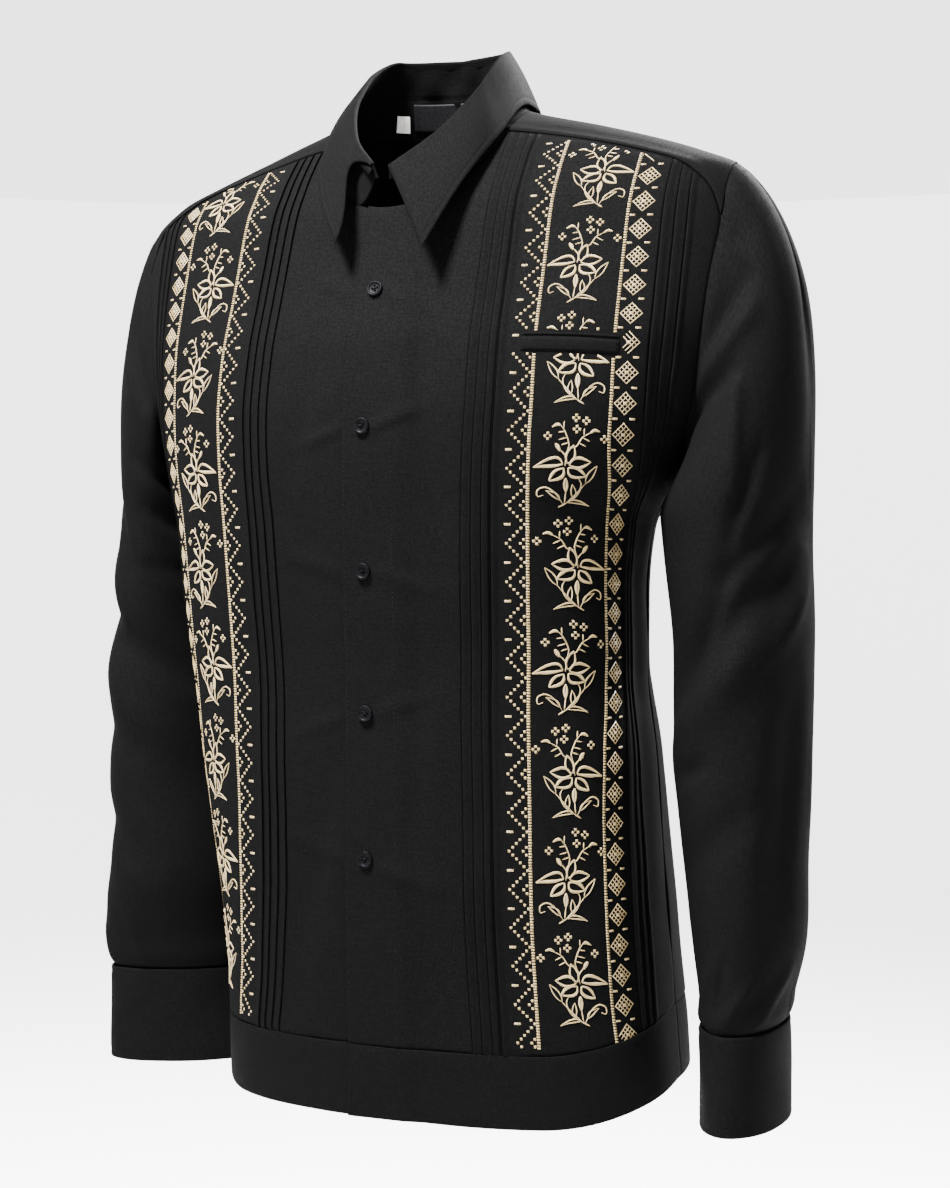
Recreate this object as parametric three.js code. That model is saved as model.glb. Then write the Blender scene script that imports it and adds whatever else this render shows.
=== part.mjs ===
// Guayabera shirt, worn and hollow. Millimetres, +Z up, the front faces -Y,
// the wearer's left is +X. The origin is the middle of the neck, level with
// the high shoulder points.
import * as THREE from "three";

// ---------- cloth ----------
const WALL = 1.6;
const BAND_WALL = 2.2;
const YOKE_WALL = 1.8;
const SEAM = 0.15;
const LAP_LIFT = 2.7;
const SIDE_STEP = 0.5;
// a row share past which a grid has reached its top edge
const TOP_ROW = 0.999;

// ---------- torso: level sections, each a superellipse ----------
// z: height, left and right: half widths, f: front depth, b: back depth,
// nf and nb: how square the front and the back halves are
const TORSO = [
  { z: 8, left: 58, right: 58, f: 6, b: 58, nf: 2.0, nb: 2.0 },
  { z: 0, left: 75, right: 75, f: 14, b: 70, nf: 2.0, nb: 2.0 },
  { z: -18, left: 137, right: 122, f: 34, b: 86, nf: 2.0, nb: 2.0 },
  { z: -40, left: 205, right: 180, f: 52, b: 99, nf: 2.0, nb: 2.1 },
  { z: -54, left: 234, right: 212, f: 62, b: 105, nf: 2.0, nb: 2.1 },
  { z: -75, left: 243, right: 233, f: 74, b: 111, nf: 2.05, nb: 2.15 },
  { z: -110, left: 245, right: 238, f: 86, b: 117, nf: 2.1, nb: 2.2 },
  { z: -140, left: 242, right: 234, f: 96, b: 121, nf: 2.2, nb: 2.2 },
  { z: -180, left: 232, right: 226, f: 109, b: 124, nf: 2.3, nb: 2.25 },
  { z: -225, left: 213, right: 215, f: 116, b: 126, nf: 2.45, nb: 2.3 },
  { z: -262, left: 188, right: 204, f: 117, b: 126, nf: 2.6, nb: 2.3 },
  { z: -300, left: 163, right: 193, f: 116, b: 126, nf: 2.75, nb: 2.3 },
  { z: -350, left: 157, right: 187, f: 114, b: 127, nf: 2.8, nb: 2.3 },
  { z: -400, left: 157, right: 181, f: 111, b: 129, nf: 2.8, nb: 2.3 },
  { z: -462, left: 165, right: 172, f: 111, b: 134, nf: 2.8, nb: 2.3 },
  { z: -536, left: 171, right: 160, f: 111, b: 147, nf: 2.75, nb: 2.3 },
  { z: -629, left: 179, right: 152, f: 108, b: 164, nf: 2.6, nb: 2.3 },
  { z: -724, left: 187, right: 150, f: 105, b: 174, nf: 2.5, nb: 2.3 },
];

// ---------- armhole: where the sleeve is set in ----------
const TIP_LEFT = -48;
const TIP_RIGHT = -64;
const PIT_Z = -262;
const ARMHOLE = [
  { z: -262, front: 188, back: 188 },
  { z: -245, front: 199, back: 198 },
  { z: -210, front: 211, back: 205 },
  { z: -170, front: 217, back: 210 },
  { z: -130, front: 222, back: 216 },
  { z: -90, front: 227, back: 223 },
  { z: -60, front: 229, back: 229 },
  { z: -44, front: 231, back: 231 },
];
// the wearer's right armhole is set this much further in, and its pit out
const RIGHT_TIP_IN = 2;
const RIGHT_PIT_OUT = 16;
const FRONT_SEAM_Y = -32;
const BACK_SEAM_Z = -115;

// ---------- neck and hem ----------
const NECK_HALF = 75;
const NECK_DROP = 78;
// share of the half neckline that lies on the front
const NECK_TURN = 0.42;
// heights between which the shoulders and the tops of the fronts lie
const SHOULDER_LOW = -118;
const SHOULDER_HIGH = 7.9;
const FRONT_HIGH = -4;
const HEM_FRONT = -709;
const HEM_LEFT = -690;
const HEM_RIGHT = -681;
const HEM_BACK = -692;
const HEM_BAND = 50;
const HEM_FLAT = 120;
const HEM_BACK_RUN = 150;

// ---------- front panels, measured along the cloth from centre front ----------
const LAP_LEFT = 16;
const LAP_RIGHT = 20;
const TUCK_RISE = 1.3;
const INNER_TUCKS = [75, 82, 89, 95.5];
const OUTER_TUCKS = [197, 204.5, 212];
const TUCK_WIDTH = 5;
// width from a tuck's stitch line to its fold
const TUCK_FOLD = 1.2;
const TUCK_STEP = 1;
// the lap lies flat this far from centre front, then falls to the form
const LAP_FLAT = 22;
const LAP_FALL = 20;
const LAP_COLUMNS = [0, 12, 24];
const PLAIN_COLUMNS = [36, 48, 58, 65, 70.5];
const BAND_COLUMNS = [103, 118, 133, 148, 162, 176, 190];
const EDGE_COLUMNS = 4;
const LOWER_ROWS = 8;
const BACK_HALF_COLUMNS = 9;

// ---------- sleeves: level oval sections below the armhole ----------
// cx, cy: centre, across: half size nearest to X, along: half size nearest to
// Y, turn: degrees about Z, n: squareness
const SLEEVE_LEFT = [
  { z: -295, cx: 229, cy: 4, across: 49, along: 74, turn: 0 },
  { z: -387, cx: 235, cy: 0, across: 45, along: 68, turn: 0 },
  { z: -461, cx: 236, cy: -5, across: 44, along: 64, turn: 0 },
  { z: -519, cx: 239, cy: -10, across: 40, along: 62, turn: 0 },
  { z: -584, cx: 243, cy: -15, across: 35, along: 58, turn: 0 },
  { z: -638, cx: 241, cy: -18, across: 24, along: 54, turn: 0 },
];
const SLEEVE_RIGHT = [
  { z: -300, cx: 231, cy: 36, across: 33, along: 76, turn: 5 },
  { z: -400, cx: 228, cy: 26, across: 40, along: 68, turn: 15 },
  { z: -500, cx: 220, cy: 16, across: 42, along: 64, turn: 30 },
  { z: -570, cx: 212, cy: 5, across: 38, along: 61, turn: 45 },
  { z: -620, cx: 216, cy: 2, across: 30, along: 57, turn: 58 },
  { z: -640, cx: 216, cy: 1, across: 23, along: 52, turn: 62 },
];
// soft folds of a sleeve, each along a line from one angle and height to
// another; a negative depth is a ridge, width is its half width
const FOLDS_LEFT = [
  { angle: -15, z: -300, toAngle: 155, toZ: -425, width: 17, depth: 5 },
  { angle: 5, z: -345, toAngle: 165, toZ: -470, width: 18, depth: -3.5 },
  { angle: 175, z: -440, toAngle: 335, toZ: -350, width: 17, depth: 4 },
  { angle: 40, z: -480, toAngle: 160, toZ: -545, width: 16, depth: 3.5 },
  { angle: 200, z: -560, toAngle: 320, toZ: -505, width: 16, depth: 3 },
];
const FOLDS_RIGHT = [
  { angle: 5, z: -330, toAngle: 165, toZ: -430, width: 17, depth: 5 },
  { angle: 15, z: -380, toAngle: 170, toZ: -475, width: 18, depth: -3.5 },
  { angle: 185, z: -450, toAngle: 345, toZ: -370, width: 17, depth: 4 },
  { angle: 20, z: -500, toAngle: 150, toZ: -560, width: 16, depth: 4 },
  { angle: 200, z: -560, toAngle: 320, toZ: -510, width: 16, depth: 3 },
];
const SLEEVE_START = 0.5;
const CAP_OUT_LEFT = 0.7;
const CAP_OUT_RIGHT = 0.42;
const PIT_LIFT = 1.6;
// the cap turns from its tip's way to its pit's between these shares of its depth
const CAP_TURN_FROM = 0.45;
const CAP_TURN_RUN = 0.4;
const CAP_PIT_OUT = 0.25;
const CAP_PIT_FALL = -0.97;
const CAP_TIP_FALL = -0.66;
const FOLD_FADE = 0.7;
const CAP_ROWS = 6;
const ARM_ROWS = 16;
const CUFF_LEFT_HEIGHT = 66;
const CUFF_RIGHT_HEIGHT = 71;
const CUFF_SLACK = 2;
const CUFF_LAP = 34;
const CUFF_COLUMNS = 28;
const CUFF_ROWS = 3;
const CUFF_START = 250;
// shares of the lap over which the cuff lifts over itself, and its clearance
const CUFF_LIFT_FROM = 0.9;
const CUFF_LIFT_TO = 0.05;
const CUFF_CLEAR = 0.5;
const CUFF_BUTTON_SHARE = 0.45;
const TURN_STEP = 0.02;

// ---------- collar ----------
// fold: top edge of the collar from centre front (0) round to centre back (1)
const FOLD_LEFT = [
  { u: 0, x: 3, y: -85, z: -49 },
  { u: 0.2, x: 32, y: -60, z: -20 },
  { u: 0.4, x: 50, y: -26, z: 18 },
  { u: 0.58, x: 53, y: 8, z: 46 },
  { u: 0.78, x: 42, y: 40, z: 55 },
  { u: 1, x: 0, y: 54, z: 56 },
];
const FOLD_RIGHT = [
  { u: 0, x: 12, y: -81, z: -46 },
  { u: 0.2, x: 36, y: -58, z: -20 },
  { u: 0.4, x: 50, y: -26, z: 15 },
  { u: 0.58, x: 53, y: 8, z: 42 },
  { u: 0.78, x: 44, y: 38, z: 56 },
  { u: 1, x: 0, y: 54, z: 56 },
];
// leaf: lower edge of the turned-down collar
const LEAF_LEFT = [
  { u: 0, x: 41, y: -112, z: -112 },
  { u: 0.2, x: 56, y: -82, z: -66 },
  { u: 0.4, x: 70, y: -44, z: -24 },
  { u: 0.58, x: 74, y: 2, z: 6 },
  { u: 0.78, x: 64, y: 52, z: 8 },
  { u: 1, x: 0, y: 77, z: 8 },
];
const LEAF_RIGHT = [
  { u: 0, x: 27, y: -107, z: -104 },
  { u: 0.2, x: 52, y: -82, z: -66 },
  { u: 0.4, x: 68, y: -44, z: -24 },
  { u: 0.58, x: 76, y: 2, z: 5 },
  { u: 0.78, x: 64, y: 52, z: 8 },
  { u: 1, x: 0, y: 77, z: 8 },
];
const COLLAR_COLUMNS = 18;
const STAND_CENTRE_Y = 5;
const CORNER_WIDTH = 9;
// the stand's lower front corners are cut back, so the neck stands open
const STAND_OPEN = 0.72;
const STAND_OPEN_RUN = 0.13;
const STAND_ROWS = 3;
const STAND_RISE = 2.5;
const STAND_RISE_MORE = 3.2;
const STAND_IN = 0.3;
const FALL_ROWS = 4;
const FALL_BELLY = 1.6;
const FALL_LEAN = 0.35;
// how far the right leaf's front edge is hollowed, as a share of its length
const LEAF_SWEEP_RIGHT = 0.11;
const SWEEP_PEAK = 9.5;

// ---------- small pieces ----------
const BUTTON_Z = [-138, -233, -332, -430, -530];
const BUTTON_RADIUS = 5.6;
const BUTTON_THICK = 2.6;
const BUTTON_SIDES = 20;
const WELT_FROM = 109;
const WELT_TO = 175;
const WELT_TOP = -174.5;
const WELT_HEIGHT = 10;
// how much lower its outer end lies
const WELT_SLOPE = 3;
const WELT_WALL = 1.4;
const BUTTON_SEAT = 0.3;
const WELT_SEAT = 0.3;
const PATCH_SEAT = 0.3;
const PATCH_WALL = 1;
const PATCH_ROWS = 2;
const PATCH_COLUMNS = 8;
// shares round the neck and up the stand
const LABEL = { from: 0.43, to: 0.585, low: 0.15, high: 0.5 };
const TAB = { from: 0.593, to: 0.618, low: 0.12, high: 0.34 };

const COLOURS = {
  cloth: 0x1c1c1e,
  button: 0x0b0b0c,
  label: 0x101012,
  tab: 0xe6e4de,
};

// ---------- plain mathematics ----------
const BACKWARD = new THREE.Vector3(0, 1, 0);
const clamp = (v, lo, hi) => Math.min(hi, Math.max(lo, v));
const mix = (p, q, t) => p + (q - p) * t;
const ease = (t) => {
  const c = clamp(t, 0, 1);
  return c * c * (3 - 2 * c);
};

// value of one column of a table, a smooth curve through its rows
function read(rows, key, column, at) {
  const up = rows[rows.length - 1][key] > rows[0][key];
  const list = up ? rows : [...rows].reverse();
  const last = list.length - 1;
  if (at <= list[0][key]) return list[0][column];
  if (at >= list[last][key]) return list[last][column];
  let k = 0;
  while (at > list[k + 1][key]) k += 1;
  const span = (i) => list[i + 1][key] - list[i][key];
  const slope = (i) => (list[i + 1][column] - list[i][column]) / span(i);
  const tangent = (i) => {
    if (i === 0) return slope(0);
    if (i === last) return slope(last - 1);
    const before = slope(i - 1);
    const after = slope(i);
    if (before * after <= 0) return 0;
    return (2 * before * after) / (before + after);
  };
  const h = span(k);
  const t = (at - list[k][key]) / h;
  const t2 = t * t;
  const t3 = t2 * t;
  return (2 * t3 - 3 * t2 + 1) * list[k][column]
    + (t3 - 2 * t2 + t) * h * tangent(k)
    + (3 * t2 - 2 * t3) * list[k + 1][column]
    + (t3 - t2) * h * tangent(k + 1);
}

// ---------- the torso form ----------
const ARC_STEPS = 96;
const sections = new Map();
// side: 1 the wearer's left, -1 the right
function section(z, side) {
  const key = side * (Math.round(z * 1000) + 1e7);
  if (sections.has(key)) return sections.get(key);
  const row = { a: read(TORSO, "z", side > 0 ? "left" : "right", z) };
  for (const c of ["f", "b", "nf", "nb"]) row[c] = read(TORSO, "z", c, z);
  const length = [0];
  let [px, py] = around(row, 0);
  for (let i = 1; i <= ARC_STEPS; i += 1) {
    const [x, y] = around(row, (Math.PI * i) / ARC_STEPS);
    length.push(length[i - 1] + Math.hypot(x - px, y - py));
    px = x;
    py = y;
  }
  row.length = length;
  sections.set(key, row);
  return row;
}

// plan point of a section at an angle from centre front
function around(row, angle) {
  const front = angle <= Math.PI / 2;
  const n = front ? row.nf : row.nb;
  const depth = front ? -row.f : row.b;
  const s = Math.abs(Math.sin(angle)) ** (2 / n);
  const c = Math.abs(Math.cos(angle)) ** (2 / n);
  return [row.a * s, depth * c];
}

// point of the form at a signed cloth width from centre front and a height
function onTorso(width, z) {
  const side = width < 0 ? -1 : 1;
  const row = section(z, side);
  const w = Math.abs(width);
  const list = row.length;
  let k = 0;
  while (k < ARC_STEPS - 1 && list[k + 1] < w) k += 1;
  const part = (w - list[k]) / (list[k + 1] - list[k]);
  const [x, y] = around(row, (Math.PI * (k + part)) / ARC_STEPS);
  return new THREE.Vector3(side * x, y, z);
}

function torsoNormal(width, z) {
  const e = SIDE_STEP;
  const along = onTorso(width + e, z).sub(onTorso(width - e, z));
  const rise = onTorso(width, z + e).sub(onTorso(width, z - e));
  return along.cross(rise).normalize();
}

const halfLength = (z, side) => section(z, side).length[ARC_STEPS];
const quarterOf = (side) => section(PIT_Z, side).length[ARC_STEPS / 2];
const quarters = { left: quarterOf(1), right: quarterOf(-1) };
const quarter = (side) => (side > 0 ? quarters.left : quarters.right);

// cloth width of the form where its half width reaches x on one face
function widthAt(x, z, back, side) {
  const row = section(z, side);
  let lo = 0;
  let hi = row.length[ARC_STEPS / 2];
  if (back) {
    lo = hi;
    hi = row.length[ARC_STEPS];
  }
  for (let i = 0; i < 40; i += 1) {
    const mid = (lo + hi) / 2;
    const short = Math.abs(onTorso(side * mid, z).x) < x;
    if (short !== back) lo = mid;
    else hi = mid;
  }
  return (lo + hi) / 2;
}

function armholeX(z, back, side) {
  let x = read(ARMHOLE, "z", back ? "back" : "front", z);
  if (side < 0) {
    const low = ease((2 * (TIP_RIGHT - z)) / (TIP_RIGHT - PIT_Z) - 1);
    x += mix(-RIGHT_TIP_IN, RIGHT_PIT_OUT, low ** 3);
  }
  return Math.min(x, section(z, side).a);
}

const tipZ = (side) => (side > 0 ? TIP_LEFT : TIP_RIGHT);

// armhole angle: 0 at the shoulder tip, half a turn at the armpit
function armholePoint(angle, side) {
  const z = mix(tipZ(side), PIT_Z, (1 - Math.cos(angle)) / 2);
  const back = Math.sin(angle) < 0;
  const width = widthAt(armholeX(z, back, side), z, back, side);
  const normal = torsoNormal(side * width, z);
  return { width, z, point: onTorso(side * width, z), normal };
}

// height of the shoulders over a plan point
function shoulderHeight(x, y) {
  let lo = SHOULDER_LOW;
  let hi = SHOULDER_HIGH;
  for (let i = 0; i < 44; i += 1) {
    const mid = (lo + hi) / 2;
    const row = section(mid, x < 0 ? -1 : 1);
    const n = y < 0 ? row.nf : row.nb;
    const depth = y < 0 ? row.f : row.b;
    const out = (Math.abs(x) / row.a) ** n + (Math.abs(y) / depth) ** n;
    if (out > 1) hi = mid;
    else lo = mid;
  }
  return (lo + hi) / 2;
}

function shoulderPoint(x, y) {
  return new THREE.Vector3(x, y, shoulderHeight(x, y));
}

function shoulderNormal(x, y) {
  const e = SIDE_STEP;
  const dx = shoulderHeight(x + e, y) - shoulderHeight(x - e, y);
  const dy = shoulderHeight(x, y + e) - shoulderHeight(x, y - e);
  return new THREE.Vector3(-dx / (2 * e), -dy / (2 * e), 1).normalize();
}

const neckFrontZ = (x) => {
  const r = clamp(Math.abs(x) / NECK_HALF, 0, 1);
  return -NECK_DROP * Math.sqrt(1 - r * r);
};

// ---------- closed shells from two grids of points ----------
function shell(name, colour, roughness, inner, outer, closed) {
  const rows = inner.length;
  const cols = inner[0].length;
  const points = [...inner.flat(), ...outer.flat()];
  const shift = rows * cols;
  const at = (r, c) => r * cols + (closed ? c % cols : c);
  const faces = [];
  const quad = (a, b, c, d) => {
    const even = points[a].distanceTo(points[c]) <= points[b].distanceTo(points[d]);
    if (even) faces.push([a, b, c], [a, c, d]);
    else faces.push([a, b, d], [b, c, d]);
  };
  const span = closed ? cols : cols - 1;
  for (let r = 0; r < rows - 1; r += 1) {
    for (let c = 0; c < span; c += 1) {
      quad(at(r, c), at(r, c + 1), at(r + 1, c + 1), at(r + 1, c));
      quad(shift + at(r + 1, c), shift + at(r + 1, c + 1), shift + at(r, c + 1), shift + at(r, c));
    }
  }
  for (let c = 0; c < span; c += 1) {
    const top = rows - 1;
    quad(at(0, c + 1), at(0, c), shift + at(0, c), shift + at(0, c + 1));
    quad(at(top, c), at(top, c + 1), shift + at(top, c + 1), shift + at(top, c));
  }
  if (!closed) {
    for (let r = 0; r < rows - 1; r += 1) {
      const end = cols - 1;
      quad(at(r, 0), at(r + 1, 0), shift + at(r + 1, 0), shift + at(r, 0));
      quad(at(r + 1, end), at(r, end), shift + at(r, end), shift + at(r + 1, end));
    }
  }
  return body(name, colour, roughness, points, faces);
}

function body(name, colour, roughness, points, faces) {
  let volume = 0;
  for (const [a, b, c] of faces) {
    volume += points[a].dot(points[b].clone().cross(points[c]));
  }
  const order = volume < 0 ? ([a, b, c]) => [a, c, b] : (f) => f;
  const geometry = new THREE.BufferGeometry();
  const flat = points.flatMap((p) => [p.x, p.y, p.z]);
  geometry.setAttribute("position", new THREE.Float32BufferAttribute(flat, 3));
  geometry.setIndex(faces.map(order).flat());
  geometry.computeVertexNormals();
  const material = new THREE.MeshStandardMaterial({ color: colour, roughness, metalness: 0 });
  const mesh = new THREE.Mesh(geometry, material);
  mesh.name = name;
  return mesh;
}

const cloth = (name, inner, outer, closed = false) =>
  shell(name, COLOURS.cloth, 0.85, inner, outer, closed);
const offset = (point, normal, by) => point.clone().addScaledVector(normal, by);

// ---------- fronts ----------
const ARM_STEPS = 7;
const TOP_STEPS = 6;
const steps = (count, from, to) =>
  Array.from({ length: count + 1 }, (_, i) => mix(from, to, i / count));

// armhole angles of one side: up the front, over the top, down the back
function armAngles(side) {
  let lo = 0.05;
  let hi = 1.8;
  for (let i = 0; i < 40; i += 1) {
    const mid = (lo + hi) / 2;
    if (armholePoint(mid, side).point.y > FRONT_SEAM_Y) lo = mid;
    else hi = mid;
  }
  const front = (lo + hi) / 2;
  const back = -Math.acos(1 - (2 * (BACK_SEAM_Z - tipZ(side))) / (PIT_Z - tipZ(side)));
  return {
    front: steps(ARM_STEPS, Math.PI, front),
    top: steps(TOP_STEPS, front, back),
    back: steps(ARM_STEPS, -Math.PI, back),
  };
}
const ARMS = { left: armAngles(1), right: armAngles(-1) };
const arms = (side) => (side > 0 ? ARMS.left : ARMS.right);

// hem height at a signed cloth width
function hemZ(width) {
  const side = width < 0 ? -1 : 1;
  const w = Math.abs(width);
  const q = quarter(side);
  const low = side > 0 ? HEM_LEFT : HEM_RIGHT;
  if (w < q) return mix(HEM_FRONT, low, ease((w - HEM_FLAT) / (q - HEM_FLAT)));
  return mix(low, HEM_BACK, ease((w - q) / HEM_BACK_RUN));
}
const seamZ = (width) => hemZ(width) + HEM_BAND;

// top of a front at a cloth width: the neckline, then the yoke seam
function frontTopZ(width) {
  let lo = SHOULDER_LOW;
  let hi = FRONT_HIGH;
  for (let i = 0; i < 44; i += 1) {
    const mid = (lo + hi) / 2;
    const p = onTorso(width, mid);
    const inNeck = Math.abs(p.x) < NECK_HALF && mid > neckFrontZ(p.x);
    const pastSeam = p.y > FRONT_SEAM_Y;
    if (inNeck || pastSeam) hi = mid;
    else lo = mid;
  }
  return (lo + hi) / 2;
}

function frontColumns(lap) {
  const list = [-lap, -lap / 2, ...LAP_COLUMNS];
  list.push(...PLAIN_COLUMNS);
  const tuck = (from) => list.push(from, from + TUCK_FOLD, from + TUCK_WIDTH);
  INNER_TUCKS.forEach(tuck);
  list.push(...BAND_COLUMNS);
  OUTER_TUCKS.forEach(tuck);
  return list.sort((p, q) => p - q);
}

// how far a pintuck stands out at a cloth width
function tuckRelief(width) {
  let out = 0;
  for (const from of [...INNER_TUCKS, ...OUTER_TUCKS]) {
    const t = (width - from) / TUCK_WIDTH;
    const rise = TUCK_RISE * (1 - t);
    if (width >= from + TUCK_STEP && t < 1) out = Math.max(out, rise);
  }
  return out;
}

function lapLift(width) {
  return LAP_LIFT * (1 - ease((width - LAP_FLAT) / LAP_FALL));
}

const lastTuck = OUTER_TUCKS[OUTER_TUCKS.length - 1] + TUCK_WIDTH + TUCK_STEP;

// rows of a front: cloth width and height of each point of its grid
function frontGrid(side, lap) {
  const columns = frontColumns(lap);
  const angles = arms(side).front;
  const base = seamZ(side * quarter(side)) + SEAM;
  const rows = steps(LOWER_ROWS, base, PIT_Z).slice(0, -1)
    .map((z) => ({ z, w: quarter(side) }));
  for (const angle of angles) {
    const { z, width } = armholePoint(angle, side);
    rows.push({ z, w: width });
  }
  const top = rows[rows.length - 1].z;
  const free = (w, t) => mix(seamZ(side * w) + SEAM, frontTopZ(side * w) - SEAM, t);
  return rows.map((end) => {
    const t = (end.z - base) / (top - base);
    const last = end.w - SEAM;
    const row = columns.map((w) => ({ w, z: free(w, t) }));
    const edge = end.z - (t > TOP_ROW ? SEAM : 0);
    for (let k = 1; k <= EDGE_COLUMNS; k += 1) {
      const w = mix(lastTuck, last, k / EDGE_COLUMNS);
      row.push({ w, z: free(w, t) + ((edge - free(last, t)) * k) / EDGE_COLUMNS });
    }
    return row;
  });
}

function front(name, side, edge, lifted) {
  const inner = [];
  const outer = [];
  for (const row of frontGrid(side, edge)) {
    const low = [];
    const high = [];
    for (const { w, z } of row) {
      const p = onTorso(side * w, z);
      const n = torsoNormal(side * w, z);
      const lift = lifted ? lapLift(w) : 0;
      low.push(offset(p, n, lift));
      high.push(offset(p, n, lift + WALL + tuckRelief(w)));
    }
    inner.push(low);
    outer.push(high);
  }
  return cloth(name, inner, outer);
}

// ---------- back ----------
// signed shares across the back: -1 the right edge, 1 the left edge
const backShares = steps(2 * BACK_HALF_COLUMNS, -1, 1);

function back() {
  const inner = [];
  const outer = [];
  for (let j = 0; j <= LOWER_ROWS + ARM_STEPS; j += 1) {
    const low = [];
    const high = [];
    for (const place of backShares) {
      const side = place < 0 ? -1 : 1;
      const share = Math.abs(place);
      const base = seamZ(side * quarter(side)) + SEAM;
      const topAngle = arms(side).back[ARM_STEPS];
      const top = armholePoint(topAngle, side).z;
      let end = { z: mix(base, PIT_Z, j / LOWER_ROWS), w: quarter(side) };
      if (j >= LOWER_ROWS) {
        const arm = armholePoint(arms(side).back[j - LOWER_ROWS], side);
        end = { z: arm.z, w: arm.width };
      }
      const t = (end.z - base) / (top - base);
      const middle = seamZ(halfLength(HEM_BACK, 1)) + SEAM;
      const height = mix(middle, BACK_SEAM_Z - SEAM, t);
      const w = mix(halfLength(height, side), end.w + SEAM, share);
      const free = (at) => mix(seamZ(side * at) + SEAM, BACK_SEAM_Z - SEAM, t);
      const edge = end.z - (t > TOP_ROW ? SEAM : 0);
      const z = free(w) + (edge - free(end.w)) * share;
      const width = Math.min(w, halfLength(z, side));
      const p = onTorso(side * width, z);
      const n = share < 0.001 ? BACKWARD : torsoNormal(side * width, z);
      low.push(p);
      high.push(offset(p, n, WALL));
    }
    inner.push(low);
    outer.push(high);
  }
  return cloth("back", inner, outer);
}

// ---------- yoke ----------
const YOKE_BACK_STEPS = 8;
const YOKE_ROWS = 7;
const YOKE_TRIM = 0.8;
const YOKE_CROWD = 1.4;
const neckBackY = read(TORSO, "z", "b", 0);

// the yoke's edges on one side, from its front seam to centre back
function yokeEdges(side) {
  const pairs = [];
  const start = frontNeckPoint();
  const count = TOP_STEPS + YOKE_BACK_STEPS;
  const corner = armholePoint(arms(side).top[TOP_STEPS], side).width;
  for (let k = 0; k <= count; k += 1) {
    const plan = neckPlan(k / count, start);
    const inner = { x: side * plan.x, y: plan.y };
    let outer = null;
    if (k <= TOP_STEPS) outer = armholePoint(arms(side).top[k], side).point;
    else {
      const t = (k - TOP_STEPS) / YOKE_BACK_STEPS;
      const width = mix(corner, halfLength(BACK_SEAM_Z, side), t);
      outer = onTorso(side * width, BACK_SEAM_Z);
    }
    pairs.push({ inner, outer });
  }
  return pairs;
}

// where the neckline meets the front seam of the yoke
function frontNeckPoint() {
  let lo = 0;
  let hi = NECK_HALF;
  for (let i = 0; i < 40; i += 1) {
    const x = (lo + hi) / 2;
    const row = section(neckFrontZ(x), 1);
    const y = -row.f * (1 - (x / row.a) ** row.nf) ** (1 / row.nf);
    if (y < FRONT_SEAM_Y) lo = x;
    else hi = x;
  }
  return { x: lo, y: FRONT_SEAM_Y };
}

// the neckline in plan, 0 at the yoke's front seam and 1 at centre back
function neckPlan(share, start) {
  const from = Math.atan2(start.y / neckBackY, start.x / NECK_HALF);
  const angle = mix(from, Math.PI / 2, share);
  const depth = angle < 0 ? -start.y / Math.sin(-from) : neckBackY;
  return { x: NECK_HALF * Math.cos(angle), y: depth * Math.sin(angle) };
}

function yoke() {
  const full = [...yokeEdges(1), ...yokeEdges(-1).slice(0, -1).reverse()];
  const inner = [];
  const outer = [];
  for (let r = 0; r <= YOKE_ROWS; r += 1) {
    const low = [];
    const high = [];
    full.forEach((pair, k) => {
      const reach = Math.hypot(pair.outer.x - pair.inner.x, pair.outer.y - pair.inner.y);
      const trim = SEAM / reach;
      const t = (1 - trim) * (1 - (1 - r / YOKE_ROWS) ** YOKE_CROWD);
      const x = mix(pair.inner.x, pair.outer.x, t);
      let y = mix(pair.inner.y, pair.outer.y, t);
      if (k === 0 || k === full.length - 1) y += YOKE_TRIM;
      const p = shoulderPoint(x, y);
      low.push(p);
      high.push(offset(p, shoulderNormal(x, y), YOKE_WALL));
    });
    inner.push(low);
    outer.push(high);
  }
  return cloth("yoke", inner, outer);
}

// ---------- sleeves ----------
function ovalPoint(table, angle, z) {
  const row = {};
  for (const c of ["cx", "cy", "across", "along", "turn"]) row[c] = read(table, "z", c, z);
  const u = row.across * Math.cos(angle);
  const v = -row.along * Math.sin(angle);
  const turn = THREE.MathUtils.degToRad(row.turn);
  const x = row.cx + u * Math.cos(turn) - v * Math.sin(turn);
  const y = row.cy + u * Math.sin(turn) + v * Math.cos(turn);
  return new THREE.Vector3(x, y, z);
}

// one line down the sleeve at an armhole angle, s from 0 at the armhole
function capPoint(table, angle, side, s) {
  const { point, normal } = armholePoint(angle, side);
  const low = ease(((1 - Math.cos(angle)) / 2 - CAP_TURN_FROM) / CAP_TURN_RUN);
  const start = offset(point, normal, PIT_LIFT * low);
  start.x += side * (SLEEVE_START + WALL * Math.max(0, side * normal.x));
  const end = ovalPoint(table, angle, table[0].z);
  end.x *= side;
  const reach = start.distanceTo(end);
  const out = new THREE.Vector3(CAP_PIT_OUT * side, 0, CAP_PIT_FALL);
  const cap = side > 0 ? CAP_OUT_LEFT : CAP_OUT_RIGHT;
  out.lerp(new THREE.Vector3(cap * side, 0, CAP_TIP_FALL), 1 - low);
  const tangent = out.normalize().multiplyScalar(reach);
  const fall = new THREE.Vector3(0, 0, -reach);
  const s2 = s * s;
  const s3 = s2 * s;
  return new THREE.Vector3()
    .addScaledVector(start, 2 * s3 - 3 * s2 + 1)
    .addScaledVector(tangent, s3 - 2 * s2 + s)
    .addScaledVector(end, 3 * s2 - 2 * s3)
    .addScaledVector(fall, s3 - s2);
}

// angles round the sleeve: front from the top down, back up, over the top
function ringAngles(side) {
  const { front, top, back } = arms(side);
  const turned = (a) => a + 2 * Math.PI;
  const rear = back.slice(1).map(turned);
  const over = [...top].reverse().slice(1, -1).map(turned);
  return [...[...front].reverse(), ...rear, ...over];
}

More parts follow.
